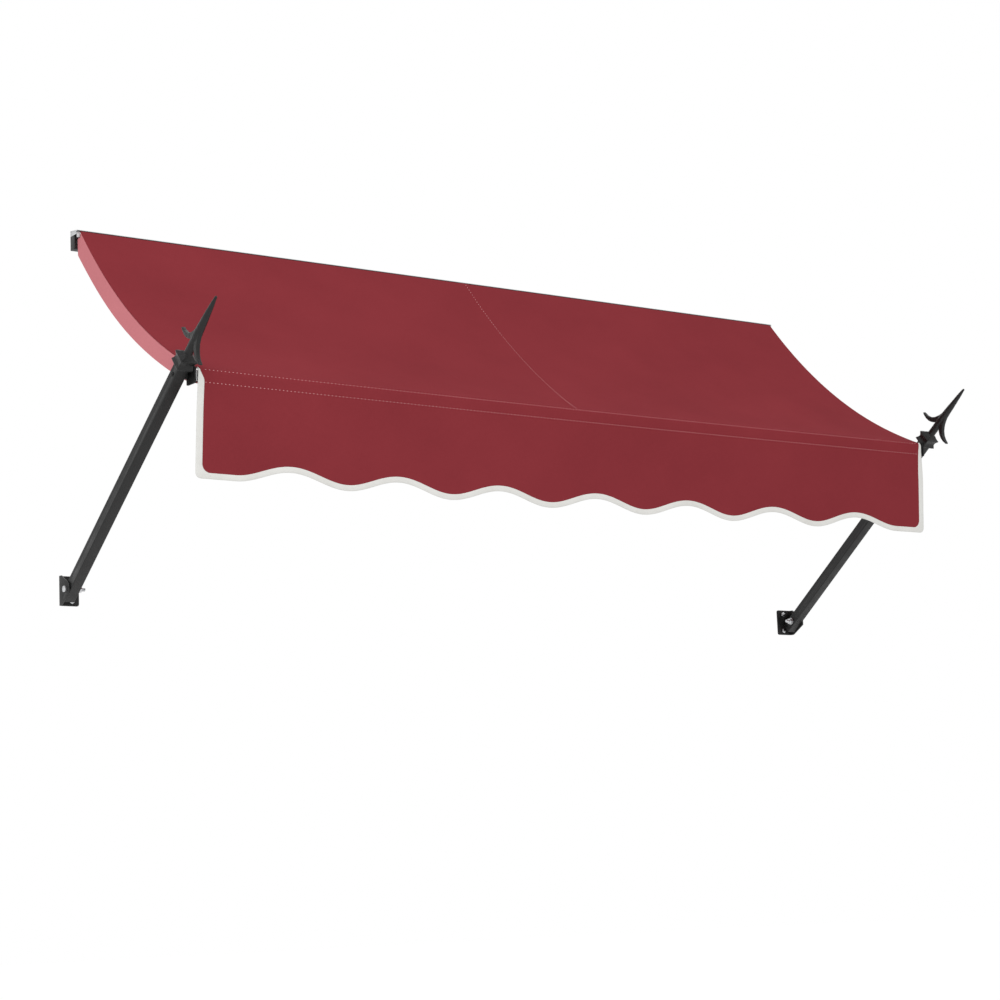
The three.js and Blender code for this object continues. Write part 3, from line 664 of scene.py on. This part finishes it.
def side_flange(side):
    roll_length = FLANGE_ROLL * math.pi / 2
    fixed = FLANGE_HEM + roll_length

    def laid(u, v):
        t = lerp(0.0, CANOPY_END, u)
        (out, up), (across, rise) = sag(t)
        width = lerp(FLANGE_TOP_WIDTH, FLANGE_FRONT_WIDTH, t)
        run = v * (fixed + width)
        if run < FLANGE_HEM:
            inboard = FLANGE_ROLL + FLANGE_HEM - run
            depth = LAYER
        elif run < fixed:
            angle = (run - FLANGE_HEM) / FLANGE_ROLL
            inboard = FLANGE_ROLL * (1 - math.sin(angle))
            depth = LAYER + FLANGE_ROLL * (1 - math.cos(angle))
        else:
            hang = run - fixed
            inboard = hang / width * ripple(0.0, t, *FLANGE_RIPPLE)
            depth = LAYER + FLANGE_ROLL + hang
        x = side * (HALF_WIDTH - FLANGE_INSET - inboard)
        return place(x, out - across * depth, up - rise * depth), (sag_length(t), run)

    bm = cloth_grid(FLANGE_COLUMNS, FLANGE_ROWS, laid)
    cut_across(bm, place(0.0, BLOCK_CLEAR, 0.0), TO_WALL)
    cut_across(bm, place(0.0, RAIL_CLEAR, 0.0), TO_WALL)
    cut_across(bm, place(0.0, 0.0, LIP_CLEAR), UPWARDS)
    hidden = []
    for face in bm.faces:
        middle = face.calc_center_median()
        behind_rail = -middle.y < RAIL_CLEAR and middle.z > LIP_CLEAR
        if -middle.y < BLOCK_CLEAR or behind_rail:
            hidden.append(face)
    bmesh.ops.delete(bm, geom=hidden, context="FACES")
    face_up(bm, Vector((side, 0.0, 0.0)))
    return bm


for name, side in SIDES:
    flange = cloth_piece(
        f"side_flange_cloth_{name}", side_flange(side), lit_flange_finish, "flange_cloth",
        f"side_flange_{name}",
    )
    follow_lift(flange)


# Valance, sewn over the canopy's front edge, rolled over the bar and hanging from the fold

_, FRONT_NORMAL = sag(1.0)
FRONT_ALONG = (FRONT_NORMAL[1], -FRONT_NORMAL[0])
ROLL_START = [corner - TANGENT * step for corner, step in zip(FOLD, FRONT_ALONG)]


def fold_line(drop):
    """The valance's line at a distance past the fold's corner: a point and its outer normal."""
    run = drop + ARC - TANGENT
    angle = min(max(run / ROLL, 0.0), TURN)
    start = math.atan2(FRONT_ALONG[1], FRONT_ALONG[0])
    heading = start - angle
    out = ROLL_START[0] + ROLL * (math.sin(start) - math.sin(heading))
    up = ROLL_START[1] + ROLL * (math.cos(heading) - math.cos(start))
    straight = min(run, 0.0) + max(run - ARC, 0.0)
    ahead, climb = math.cos(heading), math.sin(heading)
    return (out + ahead * straight, up + climb * straight), (-climb, ahead)


def valance_point(x, drop, above=0.0):
    """A point of the valance, raised above its line, with its waves and the spread of its ends."""
    (out, up), (across, rise) = fold_line(drop)
    fall = max(drop, 0.0) / VALANCE_DROP
    waves = ripple(x, drop, *VALANCE_SWELL) + ripple(x, drop, *VALANCE_RIPPLE)
    lift = LAYER + above + waves * fall ** VALANCE_LOOSENESS
    flare = (RIGHT_FLARE if x > 0 else -LEFT_FLARE) * smooth(0.0, FLARE_FULL, drop)
    aside = flare * (abs(x) / HALF_WIDTH) ** FLARE_REACH
    return place(x + aside, out + across * lift, up + rise * lift - bow(x))


def bottom_drop(x):
    """How far the valance's scalloped edge is below the fold at a place along it."""
    if abs(x) > WAVY_HALF:
        return VALANCE_DROP
    longer = MIDDLE_LENGTH * (1 - (x / WAVY_HALF) ** 2)
    rise = SCALLOP_RISE * (1 + math.cos(2 * math.pi * x / SCALLOP_PITCH)) / 2
    return VALANCE_DROP + longer - rise


def cloth_drop(x):
    """The lower edge of the valance's cloth, which lies inside the binding."""
    corner = OUTER_CORNER - CLOTH_UNDER_BINDING
    near = corner - (HALF_WIDTH - CLOTH_UNDER_BINDING - abs(x))
    drop = bottom_drop(x) - CLOTH_UNDER_BINDING
    if near > 0:
        drop -= corner - math.sqrt(max(corner * corner - near * near, 0.0))
    return drop


UPPER_DROPS = [TANGENT - ARC - VALANCE_LAP, TANGENT - ARC - VALANCE_LAP / 2]
UPPER_DROPS += [TANGENT - ARC + ARC * step / ROLL_ROWS for step in range(ROLL_ROWS)]


def valance_sheet():
    rows = len(UPPER_DROPS) + HANG_ROWS
    half = HALF_WIDTH - CLOTH_UNDER_BINDING

    def laid(u, v):
        row = round(v * rows)
        x = lerp(-half, half, u)
        hung = (row - len(UPPER_DROPS)) / HANG_ROWS
        drop = UPPER_DROPS[row] if hung < 0 else lerp(TANGENT, cloth_drop(x), hung)
        return valance_point(x, drop), (x, drop)

    bm = cloth_grid(VALANCE_COLUMNS, rows, laid)
    face_up(bm, Vector((0.0, -1.0, 0.2)))
    return bm


valance_piece = cloth_piece(
    "valance_cloth", valance_sheet(), canopy_finish, "canopy_cloth", "valance",
)
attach(valance_piece, ARM_BODY)


# Binding round the valance: a flat tape folded over the cloth's edge


def end_width(drop, side):
    """The binding's width down one end of the valance: it narrows to a tip at the fold."""
    if side < 0:
        wide = smooth(BINDING_TOP, LEFT_TAPER, drop)
    else:
        wide = math.sqrt(min((drop - BINDING_TOP) / (RIGHT_TAPER - BINDING_TOP), 1.0))
    return lerp(BINDING_TIP_WIDTH, SIDE_BINDING_WIDTH, wide)


def binding_edges():
    """Pairs of points (x, drop) across the binding, its outer and inner edge, from end to end."""
    inner_x = HALF_WIDTH - SIDE_BINDING_WIDTH
    turn_drop = VALANCE_DROP - BINDING_WIDTH - INNER_CORNER
    turn_end_x = inner_x - INNER_CORNER
    ends = {"left": [], "right": []}
    steps = int(2 * (turn_drop - BINDING_TOP) / BINDING_STEP)
    for step in range(steps):
        drop = lerp(BINDING_TOP, turn_drop, step / steps)
        for name, side in SIDES:
            inner_edge = HALF_WIDTH - end_width(drop, side)
            ends[name].append(((side * HALF_WIDTH, drop), (side * inner_edge, drop)))
    pairs = []
    down = VALANCE_DROP - OUTER_CORNER - turn_drop
    arc = OUTER_CORNER * math.pi / 2
    along = HALF_WIDTH - OUTER_CORNER - turn_end_x
    for step in range(CORNER_STATIONS):
        share = step / CORNER_STATIONS
        angle = share * math.pi / 2
        inner = (
            inner_x - INNER_CORNER * (1 - math.cos(angle)),
            turn_drop + INNER_CORNER * math.sin(angle),
        )
        run = share * (down + arc + along)
        bend = min(max(run - down, 0.0), arc) / OUTER_CORNER
        outer = (
            HALF_WIDTH - OUTER_CORNER * (1 - math.cos(bend)) - max(run - down - arc, 0.0),
            turn_drop + min(run, down) + OUTER_CORNER * math.sin(bend),
        )
        pairs.append((outer, inner))
    steps = int(turn_end_x / BINDING_STEP)
    nudge = BINDING_STEP / 4
    for step in range(steps + 1):
        x = lerp(turn_end_x, 0.0, step / steps)
        slope = (bottom_drop(x + nudge) - bottom_drop(x - nudge)) / (2 * nudge)
        size = math.hypot(slope, 1.0)
        drop = bottom_drop(x)
        inner = (x + BINDING_WIDTH * slope / size, drop - BINDING_WIDTH / size)
        pairs.append(((x, drop), inner))
    mirrored = [((-a, b), (-c, d)) for (a, b), (c, d) in pairs[:-1]]
    return ends["right"] + pairs + mirrored[::-1] + ends["left"][::-1]


def valance_binding():
    """A flattened ring of points pulled along the valance's free edges."""
    bm = bmesh.new()
    turn = bm.verts.layers.float.new("turn")
    along = bm.verts.layers.float.new("along")
    bmesh.ops.create_circle(bm, segments=BINDING_SIDES, radius=1.0, cap_ends=False)
    for vert in bm.verts:
        vert[turn] = math.atan2(vert.co.y, vert.co.x)
    ring = bm.edges[:]
    travelled = 0.0
    last = None
    for number, (outer, inner) in enumerate(binding_edges()):
        loop = set(bm.verts)
        if number:
            ring, loop = pulled_on(bm, ring)
        middle_drop = (outer[1] + inner[1]) / 2
        centre = valance_point((outer[0] + inner[0]) / 2, middle_drop)
        span = valance_point(*inner) - valance_point(*outer)
        width = span.length
        across = span.normalized()
        outward = facing(fold_line(middle_drop))
        outward = (outward - across * outward.dot(across)).normalized()
        if last is not None:
            travelled += (centre - last).length
        last = centre
        for vert in loop:
            angle = vert[turn]
            flat = math.copysign(abs(math.cos(angle)) ** BINDING_FLATNESS, math.cos(angle))
            thick = math.copysign(abs(math.sin(angle)) ** BINDING_FULLNESS, math.sin(angle))
            vert.co = centre + across * flat * width / 2 + outward * thick * BINDING_HALF_THICK
            vert[along] = travelled
    bmesh.ops.holes_fill(bm, edges=[edge for edge in bm.edges if edge.is_boundary], sides=0)
    bmesh.ops.recalc_face_normals(bm, faces=bm.faces)
    tape = bm.loops.layers.uv.new("tape")
    for face in bm.faces:
        angles = [loop.vert[turn] for loop in face.loops]
        wraps = max(angles) - min(angles) > math.pi
        for loop in face.loops:
            angle = loop.vert[turn]
            if wraps and angle < 0:
                angle += 2 * math.pi
            loop[tape].uv = (loop.vert[along], angle * BINDING_WIDTH / math.pi)
    return bm


binding_piece = finished(
    "valance_binding_tape", valance_binding(), tape_finish, "edge_binding",
    ["valance_binding"], CLOTH_ANGLE,
)
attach(binding_piece, ARM_BODY)


# Pocket strip: from the fold back over the bar, down behind it and forward to the valance


def pocket_strip():
    """The strip, and its length from edge to edge."""
    low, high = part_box("front_bar")
    middle = (low + high) / 2
    bar_out, bar_up = -middle.y, middle.z
    (front_out, _), _ = fold_line(LOWER_ROW_DROP)
    below = bar_up - POCKET_HALF - POCKET_FALL
    line = [
        (front_out - POCKET_REACH, bar_up + POCKET_HALF + POCKET_LAYER),
        (bar_out - POCKET_HALF, bar_up + POCKET_HALF),
        (bar_out - POCKET_HALF, bar_up - POCKET_HALF),
        (front_out - POCKET_LAYER, below),
        (front_out - POCKET_LAYER - TAIL_LEAN, below - POCKET_TAIL),
    ]
    bm = bmesh.new()
    half = HALF_WIDTH - POCKET_INSET
    verts = [bm.verts.new(place(-half, out, up)) for out, up in line]
    for pair in zip(verts, verts[1:]):
        bm.edges.new(pair)
    bmesh.ops.bevel(
        bm, geom=verts[1:4], offset=POCKET_ROUND, offset_type="OFFSET", affect="VERTICES",
        segments=CORNER_STEPS, profile=0.5, material=-1,
    )
    run = bm.verts.layers.float.new("run")
    ends = [vert for vert in bm.verts if len(vert.link_edges) == 1]
    walk = max(ends, key=lambda vert: vert.co.z)
    travelled = 0.0
    seen = {walk}
    while walk:
        walk[run] = travelled
        following = [edge.other_vert(walk) for edge in walk.link_edges]
        following = [vert for vert in following if vert not in seen]
        if not following:
            break
        travelled += (following[0].co - walk.co).length
        walk = following[0]
        seen.add(walk)
    edges = bm.edges[:]
    for _ in range(POCKET_COLUMNS):
        edges, fresh = pulled_on(bm, edges)
        bmesh.ops.translate(bm, verts=list(fresh), vec=(2 * half / POCKET_COLUMNS, 0.0, 0.0))
    lay_flat(bm, lambda vert: (vert.co.x, vert[run]))
    for vert in bm.verts:
        x = vert.co.x
        along = vert[run]
        slack = smooth(0.0, POCKET_HELD, along) * smooth(travelled, travelled - POCKET_HELD, along)
        from_bar = vert.co - Vector((x, middle.y, middle.z))
        vert.co += from_bar.normalized() * slack * (POCKET_SLACK + ripple(x, along, *POCKET_RIPPLE))
        vert.co.z -= bow(x)
    bmesh.ops.recalc_face_normals(bm, faces=bm.faces)
    face_up(bm, Vector((0.0, 1.0, -0.3)))
    return bm, travelled


pocket_mesh, POCKET_LENGTH = pocket_strip()
pocket_piece = cloth_piece(
    "front_pocket_cloth", pocket_mesh, canopy_finish, "canopy_cloth", "front_pocket",
)
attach(pocket_piece, ARM_BODY)


# Stitches, each a short bead of thread


def stitch_row(points):
    """Beads along a line of (middle, along, outward)."""
    bm = bmesh.new()
    for middle, along, outward in points:
        side = outward.cross(along).normalized()
        turn = Matrix((along.normalized(), side, outward.normalized())).transposed().to_4x4()
        size = Matrix.Diagonal((STITCH_LENGTH / 2, STITCH_WIDTH / 2, STITCH_HEIGHT / 2, 1.0))
        bead = Matrix.Translation(middle) @ turn @ size
        bmesh.ops.create_icosphere(bm, subdivisions=1, radius=1.0, matrix=bead)
    return bm


def fold_stitches(drop):
    half = HALF_WIDTH - SIDE_BINDING_WIDTH - STITCH_MARGIN
    count = int(2 * half / STITCH_PITCH)
    points = []
    for number in range(count + 1):
        x = lerp(-half, half, number / count)
        points.append((valance_point(x, drop, CLOTH / 2), SIDEWAYS, facing(fold_line(drop))))
    return stitch_row(points)


def seam_stitches():
    count = int((sag_length(CANOPY_END) - VALANCE_LAP) / STITCH_PITCH)
    points = []
    for number in range(1, count + 1):
        t = CANOPY_END * number / count - SEAM_STITCH_BACK
        next_t = t + SEAM_STITCH_AIM
        here = canopy_point(seam_x(t), t, LAYER + CLOTH / 2)
        after = canopy_point(seam_x(next_t), next_t, LAYER + CLOTH / 2)
        points.append((here, after - here, facing(sag(t))))
    return stitch_row(points)


for name, drop in (("upper", UPPER_ROW_DROP), ("lower", LOWER_ROW_DROP)):
    row = finished(f"fold_stitches_{name}", fold_stitches(drop), thread_finish, "canopy_cloth")
    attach(row, ARM_BODY)
seam_row = finished("seam_stitches", seam_stitches(), thread_finish, "canopy_cloth")
follow_lift(seam_row)


# Rigid pieces


def joined(node, gap=MERGE):
    """A copy of a solid with its points joined where they are closer than a gap."""
    bm = bmesh.new()
    bm.from_mesh(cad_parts[node].data)
    bmesh.ops.remove_doubles(bm, verts=bm.verts, dist=gap)
    return bm


def merged(node, gap=MERGE):
    """A joined copy of a solid with whole flat faces."""
    bm = joined(node, gap)
    bmesh.ops.dissolve_limit(bm, angle_limit=FLAT_ANGLE, verts=bm.verts, edges=bm.edges)
    return bm


def sharp_edges(bm):
    return [edge for edge in bm.edges if edge.is_manifold and edge.calc_face_angle() > EDGE_ANGLE]


def round_off(bm, edges, width, steps=EASE_STEPS):
    bmesh.ops.bevel(
        bm, geom=edges, offset=width, offset_type="OFFSET", affect="EDGES",
        segments=steps, profile=0.5, material=-1, clamp_overlap=True,
    )


def eased(node, width, steps=EASE_STEPS, gap=MERGE):
    """A copy of a solid with its sharp edges rounded off."""
    bm = merged(node, gap)
    round_off(bm, sharp_edges(bm), width, steps)
    bmesh.ops.dissolve_degenerate(bm, dist=SLIVER, edges=bm.edges)
    return bm


def rigid(node, kind, bm, body, finish, slot, sharp=SHARP_ANGLE):
    """A piece that stands for one solid and moves with a body."""
    piece = finished(f"{node}_{kind}", bm, finish, slot, [node], sharp)
    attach(piece, body)


aluminium = (rail_finish, "mill_aluminium")
black = (paint_finish, "black_paint")
zinc = (zinc_finish, "zinc")

rigid("head_rail", "extrusion", eased("head_rail", TUBE_EASE), WALL_BODY, *aluminium)


def rail_end_plug(side):
    """A plate pressed into the rail's open end."""
    _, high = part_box("head_rail")
    bm = bmesh.new()
    bmesh.ops.create_cube(bm, size=1.0)
    for vert in bm.verts:
        inward = PLUG_SINK if vert.co.x * side > 0 else PLUG_DEPTH
        out, floor, roof = PLUG_BACK if vert.co.y > 0 else PLUG_FRONT
        vert.co = place(side * (high.x - inward), out, roof if vert.co.z > 0 else floor)
    round_off(bm, bm.edges[:], TUBE_EASE)
    return bm


for name, side in SIDES:
    plug = finished(f"rail_end_plug_{name}", rail_end_plug(side), *aluminium)
    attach(plug, WALL_BODY)

rigid("welt_cord", "rope", eased("welt_cord", CORD_EASE), WALL_BODY, tape_finish, "cord")

for name in BLOCKS:
    node = f"rail_block_{name}"
    rigid(node, "moulding", eased(node, BLOCK_EASE, FINE_STEPS, BLOCK_GAP), WALL_BODY, *black)

for name, _ in SIDES:
    node = f"arm_{name}"
    rigid(node, "tube", eased(node, TUBE_EASE), ARM_BODY, *black)
    node = f"bar_end_fitting_{name}"
    # The fittings take the darker coat, which is partly painted shade.
    rigid(node, "casting", eased(node, FITTING_EASE), ARM_BODY, moulding_and_shade_finish, "black_paint")


def front_bar_tube():
    """The bar with its slight bow."""
    bm = eased("front_bar", TUBE_EASE)
    low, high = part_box("front_bar")
    for step in range(1, BOW_CUTS):
        cut_across(bm, place(lerp(low.x, high.x, step / BOW_CUTS), 0.0, 0.0), SIDEWAYS)
    for vert in bm.verts:
        vert.co.z -= max(bow(vert.co.x), 0.0)
    return bm


rigid("front_bar", "tube", front_bar_tube(), ARM_BODY, *aluminium)


# Finials: the casting's solid, softened and dented by hand hammering


def remeshed(bm):
    """The outside of a solid as an even mesh."""
    source = bpy.data.meshes.new("casting_blank")
    bm.to_mesh(source)
    bm.free()
    blank = bpy.data.objects.new("casting_blank", source)
    bpy.context.scene.collection.objects.link(blank)
    even = blank.modifiers.new("even", "REMESH")
    even.mode = "VOXEL"
    even.voxel_size = CASTING_VOXEL
    graph = bpy.context.evaluated_depsgraph_get()
    mesh = bpy.data.meshes.new_from_object(blank.evaluated_get(graph))
    made = bmesh.new()
    made.from_mesh(mesh)
    bpy.data.objects.remove(blank)
    bpy.data.meshes.remove(source)
    bpy.data.meshes.remove(mesh)
    return made


def spear_finial(node):
    bm = remeshed(joined(node))
    for _ in range(CASTING_SOFTENING):
        bmesh.ops.smooth_vert(
            bm, verts=bm.verts, factor=0.5, use_axis_x=True, use_axis_y=True, use_axis_z=True,
        )
    bm.normal_update()
    moves = []
    for vert in bm.verts:
        near = noise.voronoi(vert.co / DENT_SIZE)[0][0]
        dent = DENT_DEPTH * (smooth(0.0, DENT_RIM, near) - DENT_LEVEL)
        moves.append(vert.normal * dent)
    for vert, move in zip(bm.verts, moves):
        vert.co += move
    return bm


for name, _ in SIDES:
    node = f"spear_finial_{name}"
    rigid(node, "casting", spear_finial(node), ARM_BODY, cast_finish, "cast_black", CASTING_ANGLE)


# Wall brackets: bent sheet with a chamfered ear


def wall_bracket(node, side):
    low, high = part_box(node)
    bend, free_end = (high.x, low.x) if side > 0 else (low.x, high.x)
    bm = merged(node)

    def edges_at(**at):
        """The edges that lie at the given coordinates."""
        return [
            edge for edge in bm.edges
            if all(
                abs(getattr(vert.co, axis) - value) < MERGE
                for vert in edge.verts for axis, value in at.items()
            )
        ]

    round_off(bm, edges_at(x=bend, y=high.y), BRACKET_BEND, BEND_STEPS)
    crotch = edges_at(x=bend - side * BRACKET_SHEET, y=high.y - BRACKET_SHEET)
    round_off(bm, crotch, BRACKET_CROTCH, BEND_STEPS)
    corners = edges_at(x=free_end, z=low.z) + edges_at(x=free_end, z=high.z)
    round_off(bm, corners, BRACKET_CORNER, CORNER_STEPS)
    round_off(bm, sharp_edges(bm), BRACKET_EASE)
    return bm


for name, side in SIDES:
    node = f"wall_bracket_{name}"
    rigid(node, "plate", wall_bracket(node, side), WALL_BODY, *black)


# Fasteners


def end_of(node, axis):
    """The middle of a solid's end, looking along an axis, and the solid's length along it."""
    low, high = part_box(node)
    length = abs((high - low).dot(axis))
    return (low + high) / 2 - axis * length / 2, length


def aimed(bm, start, axis):
    """Moves a fastener made at the origin along Z to its place and axis."""
    turn = UPWARDS.rotation_difference(axis).to_matrix().to_4x4()
    bmesh.ops.transform(bm, matrix=Matrix.Translation(start) @ turn, verts=bm.verts)
    return bm


def turned(bm, profile):
    """A round shape spun from its (radius, height) outline about Z."""
    verts = [bm.verts.new((radius, 0.0, height)) for radius, height in profile]
    edges = [bm.edges.new(pair) for pair in zip(verts, verts[1:])]
    bmesh.ops.spin(
        bm, geom=verts + edges, cent=(0.0, 0.0, 0.0), axis=UPWARDS, dvec=(0.0, 0.0, 0.0),
        angle=2 * math.pi, steps=ROUND_STEPS, use_merge=True, use_duplicate=False,
    )
    bmesh.ops.remove_doubles(bm, verts=bm.verts, dist=MERGE)
    bmesh.ops.recalc_face_normals(bm, faces=bm.faces)


def hex_head(bm, across, height):
    """A hexagon from Z = 0 to its height, chamfered at Z = 0."""
    radius = across / math.sqrt(3)
    chamfer = height * HEX_CHAMFER
    body = height - chamfer
    bmesh.ops.create_cone(
        bm, cap_ends=True, cap_tris=False, segments=6, radius1=radius, radius2=radius, depth=body,
        matrix=Matrix.Translation((0.0, 0.0, chamfer + body / 2)),
    )
    bm.normal_update()
    outer = [face for face in bm.faces if face.normal.z < -0.9]
    bmesh.ops.inset_region(
        bm, faces=outer, thickness=chamfer * HEX_SPREAD, depth=chamfer, use_even_offset=True,
    )
    round_off(bm, sharp_edges(bm), HEX_EASE)


def shank_tip(radius, end, ease):
    return [(radius, end - ease), (radius - ease, end), (0.0, end)]


def shank(radius, start, end, thread_start=None):
    """The (radius, height) outline of a plain shank, or of one with ridges from a height on."""
    outline = [(0.0, start), (radius, start)]
    if thread_start is not None:
        outline.append((radius, thread_start))
        ridges = int((end - thread_start - THREAD_PITCH) / THREAD_PITCH)
        for ridge in range(ridges):
            height = thread_start + ridge * THREAD_PITCH
            outline.append((radius - THREAD_DEPTH, height + THREAD_PITCH / 2))
            outline.append((radius, height + THREAD_PITCH))
    return outline + shank_tip(radius, end, SHANK_EASE)


def hex_bolt(node, axis, across, head, radius, thread_start=None):
    start, length = end_of(node, axis)
    bm = bmesh.new()
    hex_head(bm, across, head)
    turned(bm, shank(radius, head * SHANK_START, length, thread_start))
    return aimed(bm, start, axis)


def button_screw(node, axis, across, head, radius):
    start, length = end_of(node, axis)
    recess = radius * RECESS_WIDTH
    outline = [(0.0, head * RECESS_FLOOR), (recess, head * RECESS_FLOOR)]
    outline += [(recess, head * RECESS_LIP), (recess + RECESS_EASE, 0.0)]
    outline += [(across / 2 * out, head * up) for out, up in BUTTON_DOME]
    outline += [(radius, head)] + shank_tip(radius, length, BUTTON_SHANK_EASE)
    bm = bmesh.new()
    turned(bm, outline)
    return aimed(bm, start, axis)


def washer(node, axis, outer, inner):
    start, height = end_of(node, axis)
    ease = height * WASHER_EASE
    bm = bmesh.new()
    turned(bm, [
        (inner, ease), (inner + ease, 0.0), (outer - ease, 0.0), (outer, ease), (outer, height - ease),
        (outer - ease, height), (inner + ease, height), (inner, height - ease), (inner, ease),
    ])
    return aimed(bm, start, axis)


def hex_nut(node, axis, across, hole):
    start, height = end_of(node, axis)
    radius = across / math.sqrt(3)
    bm = bmesh.new()
    loops = []
    for size, segments in ((radius, 6), (hole, NUT_HOLE_STEPS)):
        for level in (0.0, height):
            made = bmesh.ops.create_circle(
                bm, segments=segments, radius=size, cap_ends=False,
                matrix=Matrix.Translation((0.0, 0.0, level)),
            )["verts"]
            ring = {edge for vert in made for edge in vert.link_edges}
            loops.append(list(ring))
    outer_low, outer_high, hole_low, hole_high = loops
    for first, second in (
        (outer_low, outer_high), (hole_low, hole_high), (outer_low, hole_low), (outer_high, hole_high),
    ):
        bmesh.ops.bridge_loops(bm, edges=first + second)
    bmesh.ops.recalc_face_normals(bm, faces=bm.faces)
    rim = [
        edge for edge in bm.edges
        if edge.calc_face_angle(0.0) > EDGE_ANGLE and edge.verts[0].co.xy.length > radius * NUT_RIM
    ]
    round_off(bm, rim, NUT_EASE)
    return aimed(bm, start, axis)


for name in BLOCKS:
    node = f"rail_wall_screw_{name}"
    rigid(node, "hex", hex_bolt(node, TO_WALL, **WALL_SCREW), WALL_BODY, *black)
    node = f"rail_clamp_screw_{name}"
    rigid(node, "button", button_screw(node, UPWARDS, **CLAMP_SCREW), WALL_BODY, *zinc)

for name, side in SIDES:
    inwards = Vector((-side, 0.0, 0.0))
    for level in ("upper", "lower"):
        node = f"wall_screw_{name}_{level}"
        rigid(node, "hex", hex_bolt(node, TO_WALL, **WALL_SCREW), WALL_BODY, *zinc)
    node = f"pivot_bolt_{name}"
    rigid(node, "hex", hex_bolt(node, inwards, **PIVOT_BOLT), WALL_BODY, *zinc)
    node = f"pivot_washer_{name}"
    rigid(node, "ring", washer(node, inwards, **PIVOT_WASHER), WALL_BODY, *zinc)
    node = f"pivot_nut_{name}"
    rigid(node, "hex", hex_nut(node, inwards, **PIVOT_NUT), WALL_BODY, *zinc)
    node = f"bar_bolt_{name}"
    rigid(node, "button", button_screw(node, inwards, **BAR_BOLT), ARM_BODY, *black)
    node = f"finial_screw_{name}"
    rigid(node, "button", eased(node, SET_SCREW_EASE, FINE_STEPS), ARM_BODY, *zinc)


# Camera, floor and light


def photo_camera():
    lens = bpy.data.cameras.new("photo_camera")
    lens.lens = LENS
    lens.sensor_width = SENSOR
    camera = bpy.data.objects.new("photo_camera", lens)
    bpy.context.scene.collection.objects.link(camera)
    turn = Matrix((VIEW_RIGHT, -VIEW_DOWN, -VIEW_AHEAD)).transposed().to_4x4()
    camera.matrix_world = Matrix.Translation(EYE) @ turn
    bpy.context.scene.camera = camera


def seen_rays(tree):
    """1 for rays from the camera, from mirrors and through glass, which see a white surround."""
    path = add(tree, "LightPath").outputs
    seen = math_of(tree, "MAXIMUM", path["Is Camera Ray"], path["Is Glossy Ray"])
    return math_of(tree, "MAXIMUM", seen, path["Is Transmission Ray"])


def studio():
    world = bpy.data.worlds.new("studio")
    world.use_nodes = True
    bpy.context.scene.world = world
    tree = world.node_tree
    tree.nodes.clear()
    ambient = add(tree, "Background", {"Color": WHITE, "Strength": AMBIENT})
    white = add(tree, "Background", {"Color": WHITE, "Strength": 1.0})
    mixed = add(tree, "MixShader", {"Fac": seen_rays(tree)})
    tree.links.new(ambient.outputs["Background"], mixed.inputs[1])
    tree.links.new(white.outputs["Background"], mixed.inputs[2])
    output = add(tree, "OutputWorld")
    tree.links.new(mixed.outputs["Shader"], output.inputs["Surface"])

    lamp = bpy.data.lights.new("key_light", "AREA")
    lamp.size = KEY_SIZE
    lamp.energy = KEY_POWER
    key = bpy.data.objects.new("key_light", lamp)
    key.location = KEY_PLACE
    key.rotation_euler = (KEY_AIM - KEY_PLACE).to_track_quat("-Z", "Y").to_euler()
    bpy.context.scene.collection.objects.link(key)


def studio_floor():
    bm = bmesh.new()
    bmesh.ops.create_grid(bm, x_segments=1, y_segments=1, size=FLOOR_HALF)
    bmesh.ops.translate(bm, verts=bm.verts, vec=(0.0, 0.0, FLOOR_HEIGHT))
    mesh = bpy.data.meshes.new("studio_floor")
    bm.to_mesh(mesh)
    bm.free()
    floor = bpy.data.objects.new("studio_floor", mesh)
    bpy.context.scene.collection.objects.link(floor)
    finish, tree, shader = new_finish("pale_floor")
    shader.inputs["Base Color"].default_value = FLOOR_TONE
    shader.inputs["Roughness"].default_value = FLOOR_ROUGHNESS
    shader.inputs["Specular IOR Level"].default_value = 0.0
    shader.inputs["Emission Color"].default_value = WHITE
    glow = math_of(tree, "MULTIPLY", seen_rays(tree), FLOOR_GLOW)
    tree.links.new(glow, shader.inputs["Emission Strength"])
    clear = add(tree, "BsdfTransparent")
    from_below = add(tree, "NewGeometry").outputs["Backfacing"]
    one_sided = add(tree, "MixShader", {"Fac": from_below})
    tree.links.new(shader.outputs["BSDF"], one_sided.inputs[1])
    tree.links.new(clear.outputs["BSDF"], one_sided.inputs[2])
    tree.links.new(one_sided.outputs["Shader"], tree.nodes["Material Output"].inputs["Surface"])
    mesh.materials.append(finish)


photo_camera()
studio()
studio_floor()
bpy.context.scene.view_settings.view_transform = "Standard"
